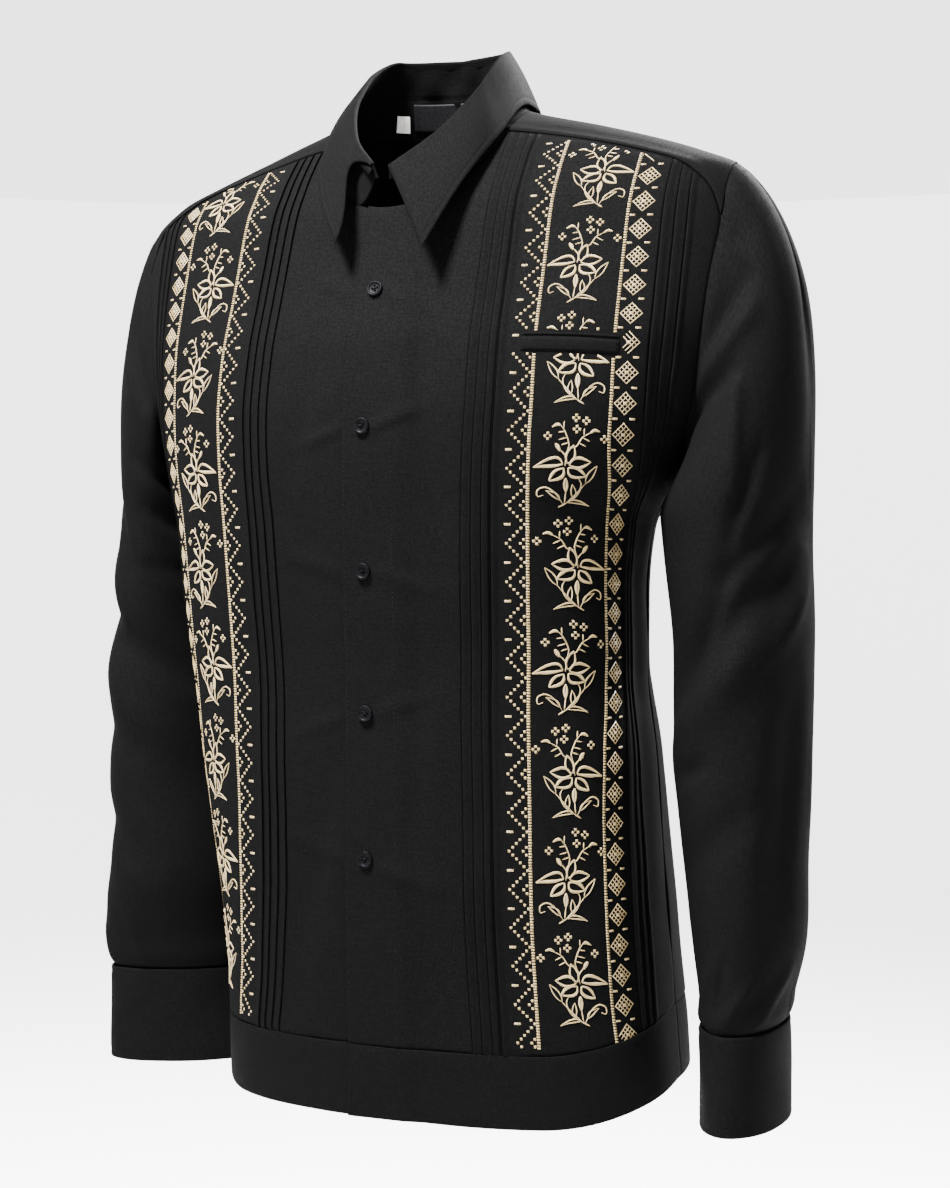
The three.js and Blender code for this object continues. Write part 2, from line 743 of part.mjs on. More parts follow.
// how far the folds move the cloth out at an angle and height
function foldRelief(folds, angle, z) {
  const degrees = THREE.MathUtils.radToDeg(angle);
  let out = 0;
  for (const fold of folds) {
    for (const turn of [-360, 0, 360]) {
      const t = (degrees + turn - fold.angle) / (fold.toAngle - fold.angle);
      if (t <= 0 || t >= 1) continue;
      const away = (z - mix(fold.z, fold.toZ, t)) / fold.width;
      out -= fold.depth * Math.sin(Math.PI * t) ** FOLD_FADE * Math.exp(-away * away);
    }
  }
  return out;
}

function sleeve(name, side, table, folds) {
  const angles = ringAngles(side);
  const rows = steps(CAP_ROWS, 0, 1)
    .map((s) => angles.map((a) => capPoint(table, a, side, s)));
  const bottom = table[table.length - 1].z + SEAM;
  for (const z of steps(ARM_ROWS, table[0].z, bottom).slice(1)) {
    rows.push(angles.map((a) => {
      const p = ovalPoint(table, a, z);
      p.x *= side;
      return p;
    }));
  }
  const relief = rows.map((row, r) => row.map((p, c) =>
    (r > CAP_ROWS ? foldRelief(folds, angles[c], p.z) : 0)));
  const inner = moveOut(rows, relief);
  return cloth(name, inner, moveOut(inner, relief.map((row) => row.map(() => WALL))), true);
}

// a closed grid of rings moved out along its own normals, point by point
function moveOut(rows, by) {
  const count = rows[0].length;
  return rows.map((row, r) => row.map((p, c) => {
    const above = rows[Math.max(0, r - 1)][c];
    const below = rows[Math.min(rows.length - 1, r + 1)][c];
    const next = row[(c + 1) % count];
    const prior = row[(c + count - 1) % count];
    const n = next.clone().sub(prior).cross(below.clone().sub(above)).normalize();
    const centre = row.reduce((s, q) => s.add(q), new THREE.Vector3()).divideScalar(count);
    if (n.dot(p.clone().sub(centre)) < 0) n.negate();
    return offset(p, n, by[r][c]);
  }));
}

// a point of the cuff's inner face, its outward direction and how far it lifts
function cuffPoint(side, table, share, z) {
  const end = table[table.length - 1];
  const grown = { ...end, across: end.across + CUFF_SLACK, along: end.along + CUFF_SLACK };
  const rows = [grown, { ...grown, z: end.z - 1 }];
  const lap = THREE.MathUtils.degToRad(CUFF_LAP);
  const turn = 2 * Math.PI + lap;
  const angle = THREE.MathUtils.degToRad(CUFF_START) + share * turn;
  const p = ovalPoint(rows, angle, z);
  const q = ovalPoint(rows, angle + TURN_STEP, z).sub(p);
  const n = new THREE.Vector3(-q.y, q.x, 0).normalize();
  const centre = new THREE.Vector3(end.cx, end.cy, z);
  if (n.dot(p.clone().sub(centre)) < 0) n.negate();
  const from = (2 * Math.PI - CUFF_LIFT_FROM * lap) / turn;
  const to = (2 * Math.PI - CUFF_LIFT_TO * lap) / turn;
  const lift = (BAND_WALL + CUFF_CLEAR) * ease((share - from) / (to - from));
  p.x *= side;
  n.x *= side;
  return { p, n, lift };
}

function cuff(name, side, table) {
  const top = table[table.length - 1].z - SEAM;
  const height = side > 0 ? CUFF_LEFT_HEIGHT : CUFF_RIGHT_HEIGHT;
  const inner = [];
  const outer = [];
  for (const z of steps(CUFF_ROWS, top, top - height)) {
    const line = steps(CUFF_COLUMNS, 0, 1).map((share) => cuffPoint(side, table, share, z));
    inner.push(line.map(({ p, n, lift }) => offset(p, n, lift)));
    outer.push(line.map(({ p, n, lift }) => offset(p, n, lift + BAND_WALL)));
  }
  return cloth(name, inner, outer);
}

// ---------- hem band ----------
const HEM_ROWS = 2;

function frontBand(name, side, edge, lifted) {
  const widths = frontGrid(side, edge)[0].map((p) => p.w);
  const inner = [];
  const outer = [];
  for (let r = 0; r <= HEM_ROWS; r += 1) {
    const low = [];
    const high = [];
    for (const w of widths) {
      const z = mix(seamZ(side * w) - SEAM, hemZ(side * w), r / HEM_ROWS);
      const p = onTorso(side * w, z);
      const n = torsoNormal(side * w, z);
      const lift = lifted ? lapLift(w) : 0;
      low.push(offset(p, n, lift));
      high.push(offset(p, n, lift + BAND_WALL));
    }
    inner.push(low);
    outer.push(high);
  }
  return cloth(name, inner, outer);
}

function backBand() {
  const inner = [];
  const outer = [];
  for (let r = 0; r <= HEM_ROWS; r += 1) {
    const low = [];
    const high = [];
    for (const place of backShares) {
      const side = place < 0 ? -1 : 1;
      const share = Math.abs(place);
      const middle = mix(HEM_BACK + HEM_BAND, HEM_BACK, r / HEM_ROWS);
      const w = mix(halfLength(middle, side), quarter(side) + SEAM, share);
      const z = mix(seamZ(side * w) - SEAM, hemZ(side * w), r / HEM_ROWS);
      const width = Math.min(w, halfLength(z, side));
      const p = onTorso(side * width, z);
      const n = share < 0.001 ? BACKWARD : torsoNormal(side * width, z);
      low.push(p);
      high.push(offset(p, n, BAND_WALL));
    }
    inner.push(low);
    outer.push(high);
  }
  return cloth("hem_band_back", inner, outer);
}

// ---------- collar ----------
// neck edge on the wearer's left, 0 at centre front and 1 at centre back
function neckline(share) {
  const x0 = frontNeckPoint().x;
  if (share < NECK_TURN) {
    const a = Math.asin(x0 / NECK_HALF) * (share / NECK_TURN);
    const x = NECK_HALF * Math.sin(a);
    const z = neckFrontZ(x);
    const row = section(z, 1);
    const y = -row.f * (1 - (x / row.a) ** row.nf) ** (1 / row.nf);
    return new THREE.Vector3(x, y, z);
  }
  const plan = neckPlan((share - NECK_TURN) / (1 - NECK_TURN), frontNeckPoint());
  return new THREE.Vector3(plan.x, plan.y, shoulderHeight(plan.x, plan.y));
}

function curve(table, u) {
  return new THREE.Vector3(read(table, "u", "x", u), read(table, "u", "y", u), read(table, "u", "z", u));
}

// both halves of a line, each given from centre front to centre back
function bothSides(left, right) {
  const other = right.slice(0, -1).reverse().map((p) => new THREE.Vector3(-p.x, p.y, p.z));
  return [...left, ...other];
}

// the collar's cross lines: neckline and fold at each column
function collarLines() {
  const shares = steps(COLLAR_COLUMNS, 0, 1);
  const along = (table) => shares.map((s) => curve(table, s));
  return {
    neck: bothSides(shares.map(neckline), shares.map(neckline)),
    fold: bothSides(along(FOLD_LEFT), along(FOLD_RIGHT)),
  };
}

// share round a half of the neck of a collar column, 0 at centre front
const columnShare = (k) => Math.min(k, 2 * COLLAR_COLUMNS - k) / COLLAR_COLUMNS;

// outward direction of a strip between two lines, level by column
function stripNormals(low, high) {
  return low.map((p, k) => {
    const before = Math.max(0, k - 1);
    const after = Math.min(low.length - 1, k + 1);
    const along = low[after].clone().add(high[after]).sub(low[before]).sub(high[before]);
    const n = along.cross(high[k].clone().sub(p)).normalize();
    const out = new THREE.Vector3(p.x, p.y - STAND_CENTRE_Y, 0);
    return n.dot(out) < 0 ? n.negate() : n;
  });
}

function collarStand() {
  const { neck, fold } = collarLines();
  const n = stripNormals(neck, fold);
  const inner = [];
  const outer = [];
  for (let r = 0; r <= STAND_ROWS; r += 1) {
    const line = neck.map((p, k) => {
      const near = Math.exp(-(((p.y - FRONT_SEAM_Y) / CORNER_WIDTH) ** 2));
      const rise = (STAND_RISE + STAND_RISE_MORE * near) / p.distanceTo(fold[k]);
      const open = STAND_OPEN * (1 - ease(columnShare(k) / STAND_OPEN_RUN));
      return p.clone().lerp(fold[k], mix(Math.max(rise, open), 1, r / STAND_ROWS));
    });
    inner.push(line.map((p, k) => offset(p, n[k], -STAND_IN - WALL)));
    outer.push(line.map((p, k) => offset(p, n[k], -STAND_IN)));
  }
  return cloth("collar_stand", inner, outer);
}

// a point of the fall, t from the fold to the leaf edge; the right leaf's front
// edge is hollowed by moving its points round the neck
function leafPoint(k, t) {
  const right = k > COLLAR_COLUMNS;
  const u = columnShare(k);
  const sweep = SWEEP_PEAK * t * (1 - t) ** 3 * (1 - u) ** 4;
  const at = right ? u + LEAF_SWEEP_RIGHT * sweep : u;
  const top = curve(right ? FOLD_RIGHT : FOLD_LEFT, at);
  const p = top.lerp(curve(right ? LEAF_RIGHT : LEAF_LEFT, at), t);
  if (right) p.x *= -1;
  return p;
}

function collarFall() {
  const { neck, fold } = collarLines();
  const n = stripNormals(neck, fold);
  const inner = [];
  const outer = [];
  for (let r = 0; r <= FALL_ROWS; r += 1) {
    const t = r / FALL_ROWS;
    const low = [];
    const high = [];
    fold.forEach((_, k) => {
      const belly = FALL_BELLY * Math.sin(Math.PI * t);
      const base = leafPoint(k, t);
      const up = new THREE.Vector3(0, 0, 1);
      const face = n[k].clone().lerp(up, FALL_LEAN).normalize();
      low.push(offset(base, face, belly));
      high.push(offset(base, face, belly + WALL));
    });
    inner.push(low);
    outer.push(high);
  }
  return cloth("collar_fall", inner, outer);
}

// ---------- buttons, welt and labels ----------
function disc(name, centre, normal, radius, thick) {
  const geometry = new THREE.CylinderGeometry(radius, radius, thick, BUTTON_SIDES);
  const turn = new THREE.Quaternion().setFromUnitVectors(new THREE.Vector3(0, 1, 0), normal);
  geometry.applyQuaternion(turn);
  const middle = offset(centre, normal, thick / 2);
  geometry.translate(middle.x, middle.y, middle.z);
  const material = new THREE.MeshStandardMaterial({
    color: COLOURS.button, roughness: 0.2, metalness: 0,
  });
  const mesh = new THREE.Mesh(geometry, material);
  mesh.name = name;
  return mesh;
}

function frontButton(index) {
  const z = BUTTON_Z[index];
  const n = torsoNormal(0.01, z);
  const seat = offset(onTorso(0, z), n, LAP_LIFT + WALL + BUTTON_SEAT);
  return disc(`button_${index + 1}`, seat, n, BUTTON_RADIUS, BUTTON_THICK);
}

function cuffButton(name, side, table) {
  const height = side > 0 ? CUFF_LEFT_HEIGHT : CUFF_RIGHT_HEIGHT;
  const z = table[table.length - 1].z - height / 2;
  const lap = CUFF_LAP / (360 + CUFF_LAP);
  const { p, n, lift } = cuffPoint(side, table, 1 - lap * CUFF_BUTTON_SHARE, z);
  const seat = offset(p, n, lift + BAND_WALL + BUTTON_SEAT);
  return disc(name, seat, n, BUTTON_RADIUS, BUTTON_THICK);
}

function pocketWelt() {
  const inner = [];
  const outer = [];
  for (let r = 0; r <= PATCH_ROWS; r += 1) {
    const low = [];
    const high = [];
    for (let c = 0; c <= PATCH_COLUMNS; c += 1) {
      const share = c / PATCH_COLUMNS;
      const w = mix(WELT_FROM, WELT_TO, share);
      const z = WELT_TOP - WELT_SLOPE * share - (WELT_HEIGHT * r) / PATCH_ROWS;
      const p = onTorso(w, z);
      const n = torsoNormal(w, z);
      low.push(offset(p, n, WALL + WELT_SEAT));
      high.push(offset(p, n, WALL + WELT_SEAT + WELT_WALL));
    }
    inner.push(low);
    outer.push(high);
  }
  return cloth("pocket_welt", inner, outer);
}

// a flat patch on the inside of the stand, between two columns
function standPatch(name, colour, { from, to, low, high }) {
  const { neck, fold } = collarLines();
  const n = stripNormals(neck, fold);
  const at = (share) => {
    const place = share * (neck.length - 1);
    const k = Math.min(neck.length - 2, Math.floor(place));
    const t = place - k;
    return {
      bottom: neck[k].clone().lerp(neck[k + 1], t),
      top: fold[k].clone().lerp(fold[k + 1], t),
      out: n[k].clone().lerp(n[k + 1], t).normalize(),
    };
  };
  const near = [];
  const far = [];
  for (let r = 0; r <= PATCH_ROWS; r += 1) {
    const t = mix(low, high, r / PATCH_ROWS);
    const rowNear = [];
    const rowFar = [];
    for (let c = 0; c <= PATCH_COLUMNS; c += 1) {
      const { bottom, top, out } = at(mix(from, to, c / PATCH_COLUMNS));
      const p = bottom.lerp(top, t);
      rowNear.push(offset(p, out, -STAND_IN - WALL - PATCH_SEAT));
      rowFar.push(offset(p, out, -STAND_IN - WALL - PATCH_SEAT - PATCH_WALL));
    }
    near.push(rowNear);
    far.push(rowFar);
  }
  return shell(name, colour, 0.8, near, far, false);
}

const group = new THREE.Group();
group.name = "guayabera_shirt";
group.add(front("front_left", 1, LAP_LEFT, true));
group.add(front("front_right", -1, LAP_RIGHT, false));
group.add(back());
group.add(yoke());
group.add(sleeve("sleeve_left", 1, SLEEVE_LEFT, FOLDS_LEFT));
group.add(sleeve("sleeve_right", -1, SLEEVE_RIGHT, FOLDS_RIGHT));
group.add(cuff("cuff_left", 1, SLEEVE_LEFT));
group.add(cuff("cuff_right", -1, SLEEVE_RIGHT));
group.add(frontBand("hem_band_left", 1, LAP_LEFT, true));
group.add(frontBand("hem_band_right", -1, LAP_RIGHT, false));
group.add(backBand());
group.add(collarStand());
group.add(collarFall());
BUTTON_Z.forEach((_, index) => group.add(frontButton(index)));
group.add(cuffButton("cuff_button_left", 1, SLEEVE_LEFT));
group.add(cuffButton("cuff_button_right", -1, SLEEVE_RIGHT));
group.add(pocketWelt());
group.add(standPatch("neck_label", COLOURS.label, LABEL));
group.add(standPatch("size_tab", COLOURS.tab, TAB));

export default group;
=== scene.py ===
"""Guayabera shirt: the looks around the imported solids.

Tables are in millimetres. +Z is up, the front faces -Y and the wearer's left is +X.
Cloth width is measured along the cloth from centre front, side is 1 for the wearer's
left half and -1 for the right.
"""
import math

import bpy
import numpy as np
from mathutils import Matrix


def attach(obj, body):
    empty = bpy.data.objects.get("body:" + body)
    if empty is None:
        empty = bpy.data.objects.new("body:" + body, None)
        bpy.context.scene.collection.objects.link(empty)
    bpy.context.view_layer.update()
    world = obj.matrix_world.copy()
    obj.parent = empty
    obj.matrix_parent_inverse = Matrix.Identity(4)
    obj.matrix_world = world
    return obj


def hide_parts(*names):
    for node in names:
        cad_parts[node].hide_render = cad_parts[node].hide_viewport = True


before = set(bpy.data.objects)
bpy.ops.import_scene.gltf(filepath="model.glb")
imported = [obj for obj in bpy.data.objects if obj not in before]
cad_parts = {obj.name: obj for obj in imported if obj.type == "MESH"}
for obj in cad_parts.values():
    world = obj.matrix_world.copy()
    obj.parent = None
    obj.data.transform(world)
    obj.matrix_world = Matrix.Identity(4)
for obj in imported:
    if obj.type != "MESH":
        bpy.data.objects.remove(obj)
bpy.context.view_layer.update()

bl_info = {
    "name": "Guayabera shirt",
    "version": (1, 0, 0),
    "blender": (4, 5, 0),
    "location": "View3D > Sidebar > Guayabera",
    "description": "Builds a worn, hollow guayabera shirt with tucks and embroidered bands",
    "category": "Add Mesh",
}

MM = 0.001


def columns(names, *rows):
    """A table as one array for each named column."""
    return dict(zip(names.split(), np.array(rows, float).T))


# ---------- the form: the same tables and formulas as the solids ----------
WALL, BAND_WALL, YOKE_WALL = 1.6, 2.2, 1.8
# gap between pieces that meet, how far the lap stands out, how far inner faces stand off
# the form, and how far the pressed edges of a front or the back do
SEAM, LAP_LIFT, INSIDE, PRESSED = 0.15, 2.7, 0.3, 1.0
# level sections: half width on each side, depth ahead f and behind b, and the exponents
# of their curves ahead nf and behind nb
TORSO = columns(
    "z left right f b nf nb",
    (8, 58, 58, 6, 58, 2.0, 2.0), (0, 75, 75, 14, 70, 2.0, 2.0),
    (-18, 137, 122, 34, 86, 2.0, 2.0), (-40, 205, 180, 52, 99, 2.0, 2.1),
    (-54, 234, 212, 62, 105, 2.0, 2.1), (-75, 243, 233, 74, 111, 2.05, 2.15),
    (-110, 245, 238, 86, 117, 2.1, 2.2), (-140, 242, 234, 96, 121, 2.2, 2.2),
    (-180, 232, 226, 109, 124, 2.3, 2.25), (-225, 213, 215, 116, 126, 2.45, 2.3),
    (-262, 188, 204, 117, 126, 2.6, 2.3), (-300, 163, 193, 116, 126, 2.75, 2.3),
    (-350, 157, 187, 114, 127, 2.8, 2.3), (-400, 157, 181, 111, 129, 2.8, 2.3),
    (-462, 165, 172, 111, 134, 2.8, 2.3), (-536, 171, 160, 111, 147, 2.75, 2.3),
    (-629, 179, 152, 108, 164, 2.6, 2.3), (-724, 187, 150, 105, 174, 2.5, 2.3))
# heights of the shoulder tips and of both armpits, and half widths at the armhole ahead
# and behind; the right one is moved in at its tip and out at its pit
TIP = {1: -48, -1: -64}
PIT_Z = -262
ARMHOLE = columns(
    "z front back", (-262, 188, 188), (-245, 199, 198), (-210, 211, 205), (-170, 217, 210),
    (-130, 222, 216), (-90, 227, 223), (-60, 229, 229), (-44, 231, 231))
RIGHT_TIP_IN, RIGHT_PIT_OUT = 2, 16
FRONT_SEAM_Y, BACK_SEAM_Z = -32, -115
NECK_HALF, NECK_DROP, NECK_BACK, NECK_FRONT_PLAN = 75, 78, 70, 70
# height of the hem in front, behind and at each side, the band's height, how far the
# hem stays level from centre front, and over what width it falls behind the side
HEM_FRONT, HEM_BACK, HEM_BAND = -709, -692, 50
HEM_SIDE = {1: -690, -1: -681}
HEM_FLAT, HEM_BACK_RUN = 120, 150
# how far each front runs past centre front
EDGE = {1: 16, -1: 20}
# cloth widths of the tucks' stitch lines on both sides of the band, and where they end
INNER_TUCKS, OUTER_TUCKS = (75, 82, 89, 95.5), (197, 204.5, 212)
LAST_TUCK = 218
# how far the fronts and the back run on under the yoke and the hem band
TUCK_UNDER = 1.0
# level ovals of the sleeves: centre, half widths across and along, and their turn
SLEEVES = {
    1: columns("z cx cy across along turn",
               (-295, 229, 4, 49, 74, 0), (-387, 235, 0, 45, 68, 0), (-461, 236, -5, 44, 64, 0),
               (-519, 239, -10, 40, 62, 0), (-584, 243, -15, 35, 58, 0), (-638, 241, -18, 24, 54, 0)),
    -1: columns("z cx cy across along turn",
                (-300, 231, 36, 33, 76, 5), (-400, 228, 26, 40, 68, 15), (-500, 220, 16, 42, 64, 30),
                (-570, 212, 5, 38, 61, 45), (-620, 216, 2, 30, 57, 58), (-640, 216, 1, 23, 52, 62)),
}
# large folds round the sleeves, as in the solids
FOLDS = {
    1: columns("angle z to_angle to_z width depth",
               (-15, -300, 155, -425, 17, 5), (5, -345, 165, -470, 18, -3.5),
               (175, -440, 335, -350, 17, 4), (40, -480, 160, -545, 16, 3.5),
               (200, -560, 320, -505, 16, 3)),
    -1: columns("angle z to_angle to_z width depth",
                (5, -330, 165, -430, 17, 5), (15, -380, 170, -475, 18, -3.5),
                (185, -450, 345, -370, 17, 4), (20, -500, 150, -560, 16, 4),
                (200, -560, 320, -510, 16, 3)),
}
# how far outwards each cap leaves the shoulder tip, how far it stands off the armpit, and
# the gap at its start
CAP_OUT = {1: 0.7, -1: 0.42}
PIT_LIFT, SLEEVE_START = 1.6, 0.5
CUFF_HEIGHT = {1: 66, -1: 71}
# how much wider the cuffs are than the sleeves' ends, the lap and its start in degrees,
# the mean radius, and how far in the stitches lie
CUFF_SLACK, CUFF_LAP, CUFF_START, CUFF_RADIUS, CUFF_STITCH = 2, 34, 250, 42, 5.0
HEM_STITCH, COLLAR_STITCH = 3.0, 5.5
# the collar's fold and its leaf edge, u from 0 at centre front to 1 at centre back
FOLD_LINE = {
    1: columns("u x y z", (0, 3, -85, -49), (0.2, 32, -60, -20), (0.4, 50, -26, 18),
               (0.58, 53, 8, 46), (0.78, 42, 40, 55), (1, 0, 54, 56)),
    -1: columns("u x y z", (0, 12, -81, -46), (0.2, 36, -58, -20), (0.4, 50, -26, 15),
                (0.58, 53, 8, 42), (0.78, 44, 38, 56), (1, 0, 54, 56)),
}
LEAF_LINE = {
    1: columns("u x y z", (0, 41, -112, -112), (0.2, 56, -82, -66), (0.4, 70, -44, -24),
               (0.58, 74, 2, 6), (0.78, 64, 52, 8), (1, 0, 77, 8)),
    -1: columns("u x y z", (0, 27, -107, -104), (0.2, 52, -82, -66), (0.4, 68, -44, -24),
                (0.58, 76, 2, 5), (0.78, 64, 52, 8), (1, 0, 77, 8)),
}
# how far the stand's outer face lies inside the lines from the neck to the fold, and the
# part of its height that stays open in front, over a share of the way round
STAND_IN, STAND_OPEN, STAND_OPEN_RUN = 0.3, 0.72, 0.13
# how far the leaf's front edge swings round between the fold and the leaf edge
LEAF_SWEEP = {1: 0.0, -1: 0.11}
# share of the way round where the neckline passes from the front to the yoke
NECK_TURN = 0.42
BUTTON_Z = (-138, -233, -332, -430, -530)
# the pocket welt: cloth widths of its ends, its top, height, and fall to its outer end
WELT = {"from": 109, "to": 175, "top": -174.5, "height": 10, "slope": 3}
# how far the tucked and embroidered part of each front hangs askew at a height, at the
# band's inner and outer line
BAND_SWAY = {
    1: columns("z inner outer", (-50, 0, 0), (-100, -1.2, -2.6), (-210, -1.3, -2.7), (-245, -3, -4),
               (-300, -5.2, 0), (-360, -5.8, 0), (-420, -6.4, -1.8), (-455, -5.8, -5.5), (-500, -5, -6.6),
               (-570, -3.8, -6), (-610, -2.2, -4.5), (-652, 0, 0)),
    -1: columns("z inner outer", (-60, 0, 0), (-130, 2, 2), (-210, 4, 4), (-260, 2, 2), (-310, -3, -3),
                (-370, -6.5, -6.5), (-430, -9, -9), (-540, -10, -10), (-600, -6, -6), (-652, 0, 0)),
}

# ---------- soft folds added to the cloth, uneven and placed one by one -------
# w, z: one end, to_w, to_z: the other, width: half width, lean: steeper to one side,
# depth: how far in, negative for a ridge; on the sleeves w is the angle in degrees
FRONT_CREASES = {
    1: columns("w z to_w to_z width lean depth",
               (2, -138, 34, -150, 5, 0, -1.2), (3, -236, 40, -222, 5, 0.2, -1.3),
               (3, -330, 46, -345, 6, 0, -1.2), (2, -432, 44, -418, 5, 0, -1.1),
               (2, -533, 52, -548, 6, 0, -1.3), (40, -180, 58, -330, 11, 0.3, 1.8),
               (30, -560, 62, -650, 12, 0.2, 1.7), (52, -420, 44, -560, 11, 0.2, -1.4),
               (206, -190, 232, -420, 14, 0.3, 2.2), (228, -300, 216, -560, 15, -0.2, 1.8),
               (110, -600, 190, -652, 16, 0, 0.9), (196, -150, 226, -215, 12, 0.2, -1.4)),
    -1: columns("w z to_w to_z width lean depth",
                (18, -140, 46, -128, 5, 0, -1.2), (14, -232, 52, -246, 5, 0, -1.3),
                (14, -335, 58, -322, 6, 0, -1.3), (14, -431, 54, -446, 5, 0, -1.2),
                (14, -532, 60, -518, 6, 0, -1.2), (36, -170, 66, -290, 11, 0.2, 2.0),
                (60, -300, 44, -440, 12, -0.2, 1.7), (28, -470, 64, -640, 13, 0.2, 1.9),
                (214, -200, 222, -430, 14, 0.2, 2.0), (120, -610, 200, -640, 16, 0, 0.9)),
}
BACK_CREASES = columns(
    "w z to_w to_z width lean depth",
    (300, -170, 340, -420, 17, 0.2, 2.6), (-300, -175, -330, -430, 17, -0.2, 2.6),
    (360, -330, 330, -640, 18, 0.2, 2.4), (-365, -300, -335, -640, 18, -0.2, 2.4),
    (400, -140, 395, -350, 16, 0, 1.6), (-395, -150, -405, -380, 16, 0, 1.6),
    (280, -420, 300, -650, 15, 0, -1.8), (-280, -430, -300, -650, 15, 0, -1.8),
    (255, -230, 300, -300, 12, 0, 1.8), (-255, -230, -300, -310, 12, 0, 1.8))
SLEEVE_CREASES = {
    1: columns("w z to_w to_z width lean depth",
               (48, -98, 68, -114, 8, 0, 2.4), (70, -122, 90, -150, 7, 0, 2.4),
               (60, -132, 113, -195, 6.5, 0.2, 5.7), (64, -156, 122, -213, 6.5, 0, -4.6),
               (83, -199, 138, -234, 6.5, 0, 4.9), (81, -208, 72, -280, 7.5, 0.2, -3.8),
               (54, -252, 74, -312, 6.5, 0.2, 4.1), (16, -283, 82, -338, 10, 0.3, 4.3),
               (78, -335, 125, -414, 9.5, 0.3, 4.6), (6, -324, 40, -382, 10, 0, -3.8),
               (50, -352, 84, -400, 11, 0, -2.4), (24, -415, 38, -550, 14, 0.2, 3.8),
               (56, -440, 68, -560, 14, 0, -2.2), (104, -461, 130, -471, 7, 0, 3.2),
               (20, -600, 50, -628, 7, 0, -2.4), (66, -606, 92, -630, 7, 0, -3),
               (110, -596, 136, -628, 7, 0, -2.7), (92, -590, 104, -626, 5, 0, 2.2),
               (200, -240, 300, -200, 13, 0, 4.1), (250, -330, 300, -470, 15, 0, 3.2),
               (190, -300, 240, -360, 12, 0, -3.2), (230, -590, 260, -630, 9, 0, -2.4),
               (290, -595, 320, -628, 9, 0, -2.2)),
    -1: columns("w z to_w to_z width lean depth",
                (48, -108, 66, -165, 8, 0.2, 2.0), (60, -140, 104, -204, 8, 0.2, 3.4),
                (66, -170, 120, -232, 8, 0, -2.8), (96, -246, 166, -280, 7.5, 0.2, 3.2),
                (106, -284, 188, -318, 7.5, 0.2, 3.2), (92, -300, 150, -352, 8, 0, -2.4),
                (118, -328, 205, -350, 8, 0, 2.6), (40, -250, 92, -330, 10, 0.2, 3.0),
                (30, -300, 90, -372, 9, 0, -2.4), (100, -400, 170, -440, 11, 0, -2.0),
                (30, -440, 110, -470, 12, 0, 2.4), (60, -560, 100, -600, 10, 0, -1.8),
                (30, -598, 60, -630, 7, 0, -1.8), (84, -604, 110, -632, 7, 0, -2.0),
                (130, -600, 150, -632, 7, 0, -1.8), (210, -240, 300, -210, 13, 0, 3.0),
                (250, -330, 300, -470, 15, 0, 2.4), (230, -590, 260, -630, 9, 0, -1.8)),
}


def mix(a, b, t):
    """a + (b - a) t."""
    return a + (b - a) * t


def ease(t):
    """3 t^2 - 2 t^3 on 0 to 1."""
    t = np.clip(t, 0, 1)
    return t * t * (3 - 2 * t)


def bell(away, width):
    """exp(-(away / width)^2)."""
    return np.exp(-((away / width) ** 2))


def unit(v):
    """Vectors over their lengths."""
    return v / np.maximum(np.linalg.norm(v, axis=-1, keepdims=True), 1e-9)


def cubic(a, leave, b, arrive, t):
    """Cubic from a to b as t goes from 0 to 1, with the slopes leave and arrive."""
    t2, t3 = t * t, t ** 3
    return ((2 * t3 - 3 * t2 + 1) * a + (t3 - 2 * t2 + t) * leave
            + (3 * t2 - 2 * t3) * b + (t3 - t2) * arrive)


def halve(lo, hi, short, steps=34):
    """Place between lo and hi where the test short turns false, by halving."""
    for _ in range(steps):
        mid = (lo + hi) / 2
        up = short(mid)
        lo, hi = np.where(up, mid, lo), np.where(up, hi, mid)
    return (lo + hi) / 2


def running(points):
    """Running length at each point of a line."""
    return np.concatenate([[0], np.cumsum(np.linalg.norm(np.diff(points, axis=0), axis=-1))])


def along_line(at, keys, points):
    """Points of a line at the places at, given the place of each of its points."""
    return np.stack([np.interp(at, keys, points[:, c]) for c in range(3)], axis=-1)


def by_side(width, table):
    """A table's value for the half that a signed cloth width lies on."""
    return np.where(width < 0, table[-1], table[1])


def half_name(piece, side):
    """Name of the left or right one of a pair."""
    return piece + ("_left" if side > 0 else "_right")


def read(table, key, column, at):
    """Smooth curve through a table's column: cubic pieces whose slopes at the rows are
    the harmonic mean of the neighbouring slopes, or 0 at a peak."""
    x, y = table[key], table[column]
    if x[0] > x[-1]:
        x, y = x[::-1], y[::-1]
    h = np.diff(x)
    d = np.diff(y) / h
    m = np.concatenate([d[:1], np.zeros(len(x) - 2), d[-1:]])
    both = d[:-1] * d[1:]
    m[1:-1] = np.where(both > 0, 2 * both / np.where(both > 0, d[:-1] + d[1:], 1), 0)
    at = np.clip(at, x[0], x[-1])
    k = np.clip(np.searchsorted(x, at, side="right") - 1, 0, len(h) - 1)
    return cubic(y[k], h[k] * m[k], y[k + 1], h[k] * m[k + 1], (at - x[k]) / h[k])


LEVEL_STEP = 0.5
LEVELS = np.arange(-735, 8.01, LEVEL_STEP)
ARC = np.linspace(0, math.pi, 385)
# one sorted list holds the running lengths of all the levels, each level a gap further on
ROW_GAP = 4096.0
# number of each side's half in HALF_X, HALF_Y and RUN
HALF = {1: 0, -1: 1}
ROWS = {c: read(TORSO, "z", c, LEVELS) for c in ("left", "right", "f", "b", "nf", "nb")}


